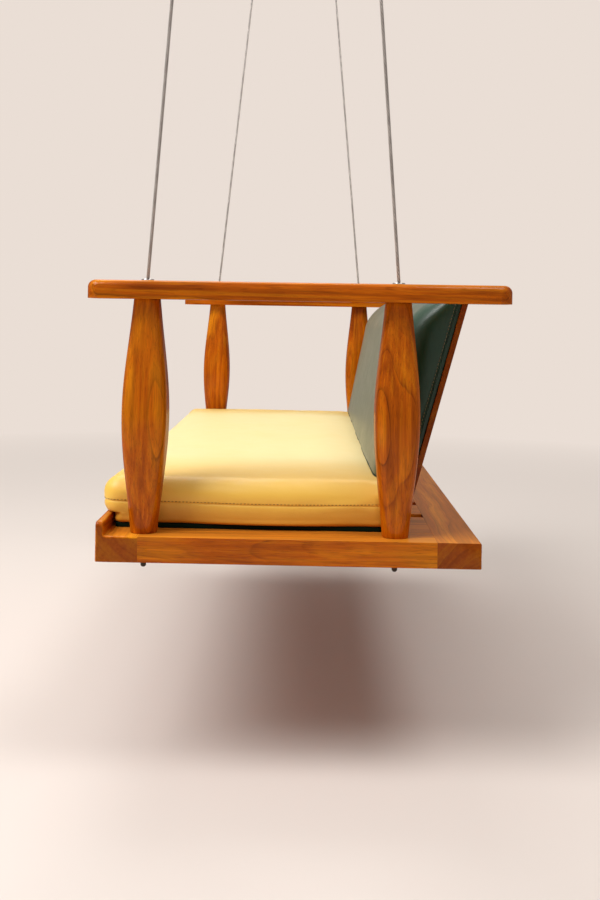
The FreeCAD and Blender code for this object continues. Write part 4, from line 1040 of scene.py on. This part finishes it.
def make_surroundings():
    turns = [math.tau * i / FLOOR_SIDES for i in range(FLOOR_SIDES)]
    points = [(FLOOR_RADIUS * math.cos(turn), FLOOR_RADIUS * math.sin(turn), FLOOR_LEVEL) for turn in turns]
    mesh = mesh_of("floor", points, [tuple(range(FLOOR_SIDES))])
    floor = bpy.data.objects.new("floor", mesh)
    bpy.context.scene.collection.objects.link(floor)
    material, tree, shader = new_material("floor_paint")
    shader.inputs["Base Color"].default_value = FLOOR_COLOUR
    shader.inputs["Roughness"].default_value = 0.8
    shader.inputs["Specular IOR Level"].default_value = 0.1
    # far from the seat the floor turns into the plain background
    place = coordinates(tree)
    away = node(tree, "ShaderNodeVectorMath", {0: scaled(tree, place, (1, 1, 0))},
                operation="LENGTH").outputs["Value"]
    seen = node(tree, "ShaderNodeLightPath").outputs["Is Camera Ray"]
    glow = node(tree, "ShaderNodeEmission", {"Color": BACKGROUND, "Strength": 1.0}).outputs[0]
    share = math_of(tree, "MULTIPLY", spread(tree, away, 1.2, 4.5), seen)
    blend = node(tree, "ShaderNodeMixShader", {0: share, 1: shader.outputs[0], 2: glow}).outputs[0]
    tree.links.new(blend, tree.nodes["Material Output"].inputs["Surface"])
    mesh.materials.append(material)

    world = bpy.data.worlds.new("studio")
    bpy.context.scene.world = world
    world.use_nodes = True
    tree = world.node_tree
    tree.nodes.clear()
    # the room is brighter overhead
    direction = coordinates(tree, "Generated")
    upward = part_of(tree, direction, 2)
    strength = spread(tree, upward, -0.3, 0.9, 0.1, 0.42)
    light = node(tree, "ShaderNodeBackground",
                 {"Color": (1, 0.98, 0.95, 1), "Strength": strength}).outputs[0]
    shown = node(tree, "ShaderNodeBackground", {"Color": BACKGROUND, "Strength": 1.0}).outputs[0]
    path = node(tree, "ShaderNodeLightPath")
    seen = math_of(tree, "MAXIMUM", path.outputs["Is Camera Ray"],
                   math_of(tree, "MULTIPLY", path.outputs["Is Glossy Ray"], 0.25))
    blend = node(tree, "ShaderNodeMixShader", {0: seen, 1: light, 2: shown}).outputs[0]
    tree.links.new(blend, node(tree, "ShaderNodeOutputWorld").inputs["Surface"])


def soft_light(name, place, aim, size, power):
    data = bpy.data.lights.new(name, "AREA")
    data.shape = "DISK"
    data.size = size
    data.energy = power
    lamp = bpy.data.objects.new(name, data)
    lamp.location = place
    lamp.rotation_euler = (Vector(aim) - Vector(place)).to_track_quat("-Z", "Y").to_euler()
    bpy.context.scene.collection.objects.link(lamp)


def make_lights():
    soft_light("key", (2.0, -2.4, 2.0), (0.1, 0, -1.4), 2.7, 175)
    soft_light("top", (1.4, 1.5, 2.5), (0.1, 0, -1.4), 1.8, 60)
    soft_light("far", (-2.2, -0.6, 2.6), (0.3, 0, -1.4), 2.4, 74)


bpy.context.scene.view_settings.view_transform = "Standard"
make_camera()
TEAK_FIGURE = make_teak_group()
dress_timber()
dress_metal()
rope_material = rope_metal()
for end in ("left", "right"):
    for side in ("front", "rear"):
        make_rope(end, side, rope_material)
yellow = leatherette("yellow_cover", YELLOW, YELLOW_LIT_TOP, 0.48, coat=0.05, sheen=0.05, end=SEAT_HALF,
                     deep=YELLOW_LOW_SHADE)
green = leatherette("green_cover", GREEN, GREEN_LIT_TOP, 0.42, coat=0.3, sheen=0.3)
make_seat_cushion(yellow, thread("yellow_thread", YELLOW_THREAD))
make_back_cushion(green, thread("green_thread", GREEN_THREAD), thread("green_welt", GREEN_WELT))
# painted shade: the seat board's cover is a darker copy of the green leatherette, for the shade under the
# seat cushion
make_boards(leatherette("green_board_shaded_cover", GREEN_BOARD_SHADE, GREEN_BOARD_SHADE, 0.6, specular=0.1), green)
make_surroundings()
make_lights()
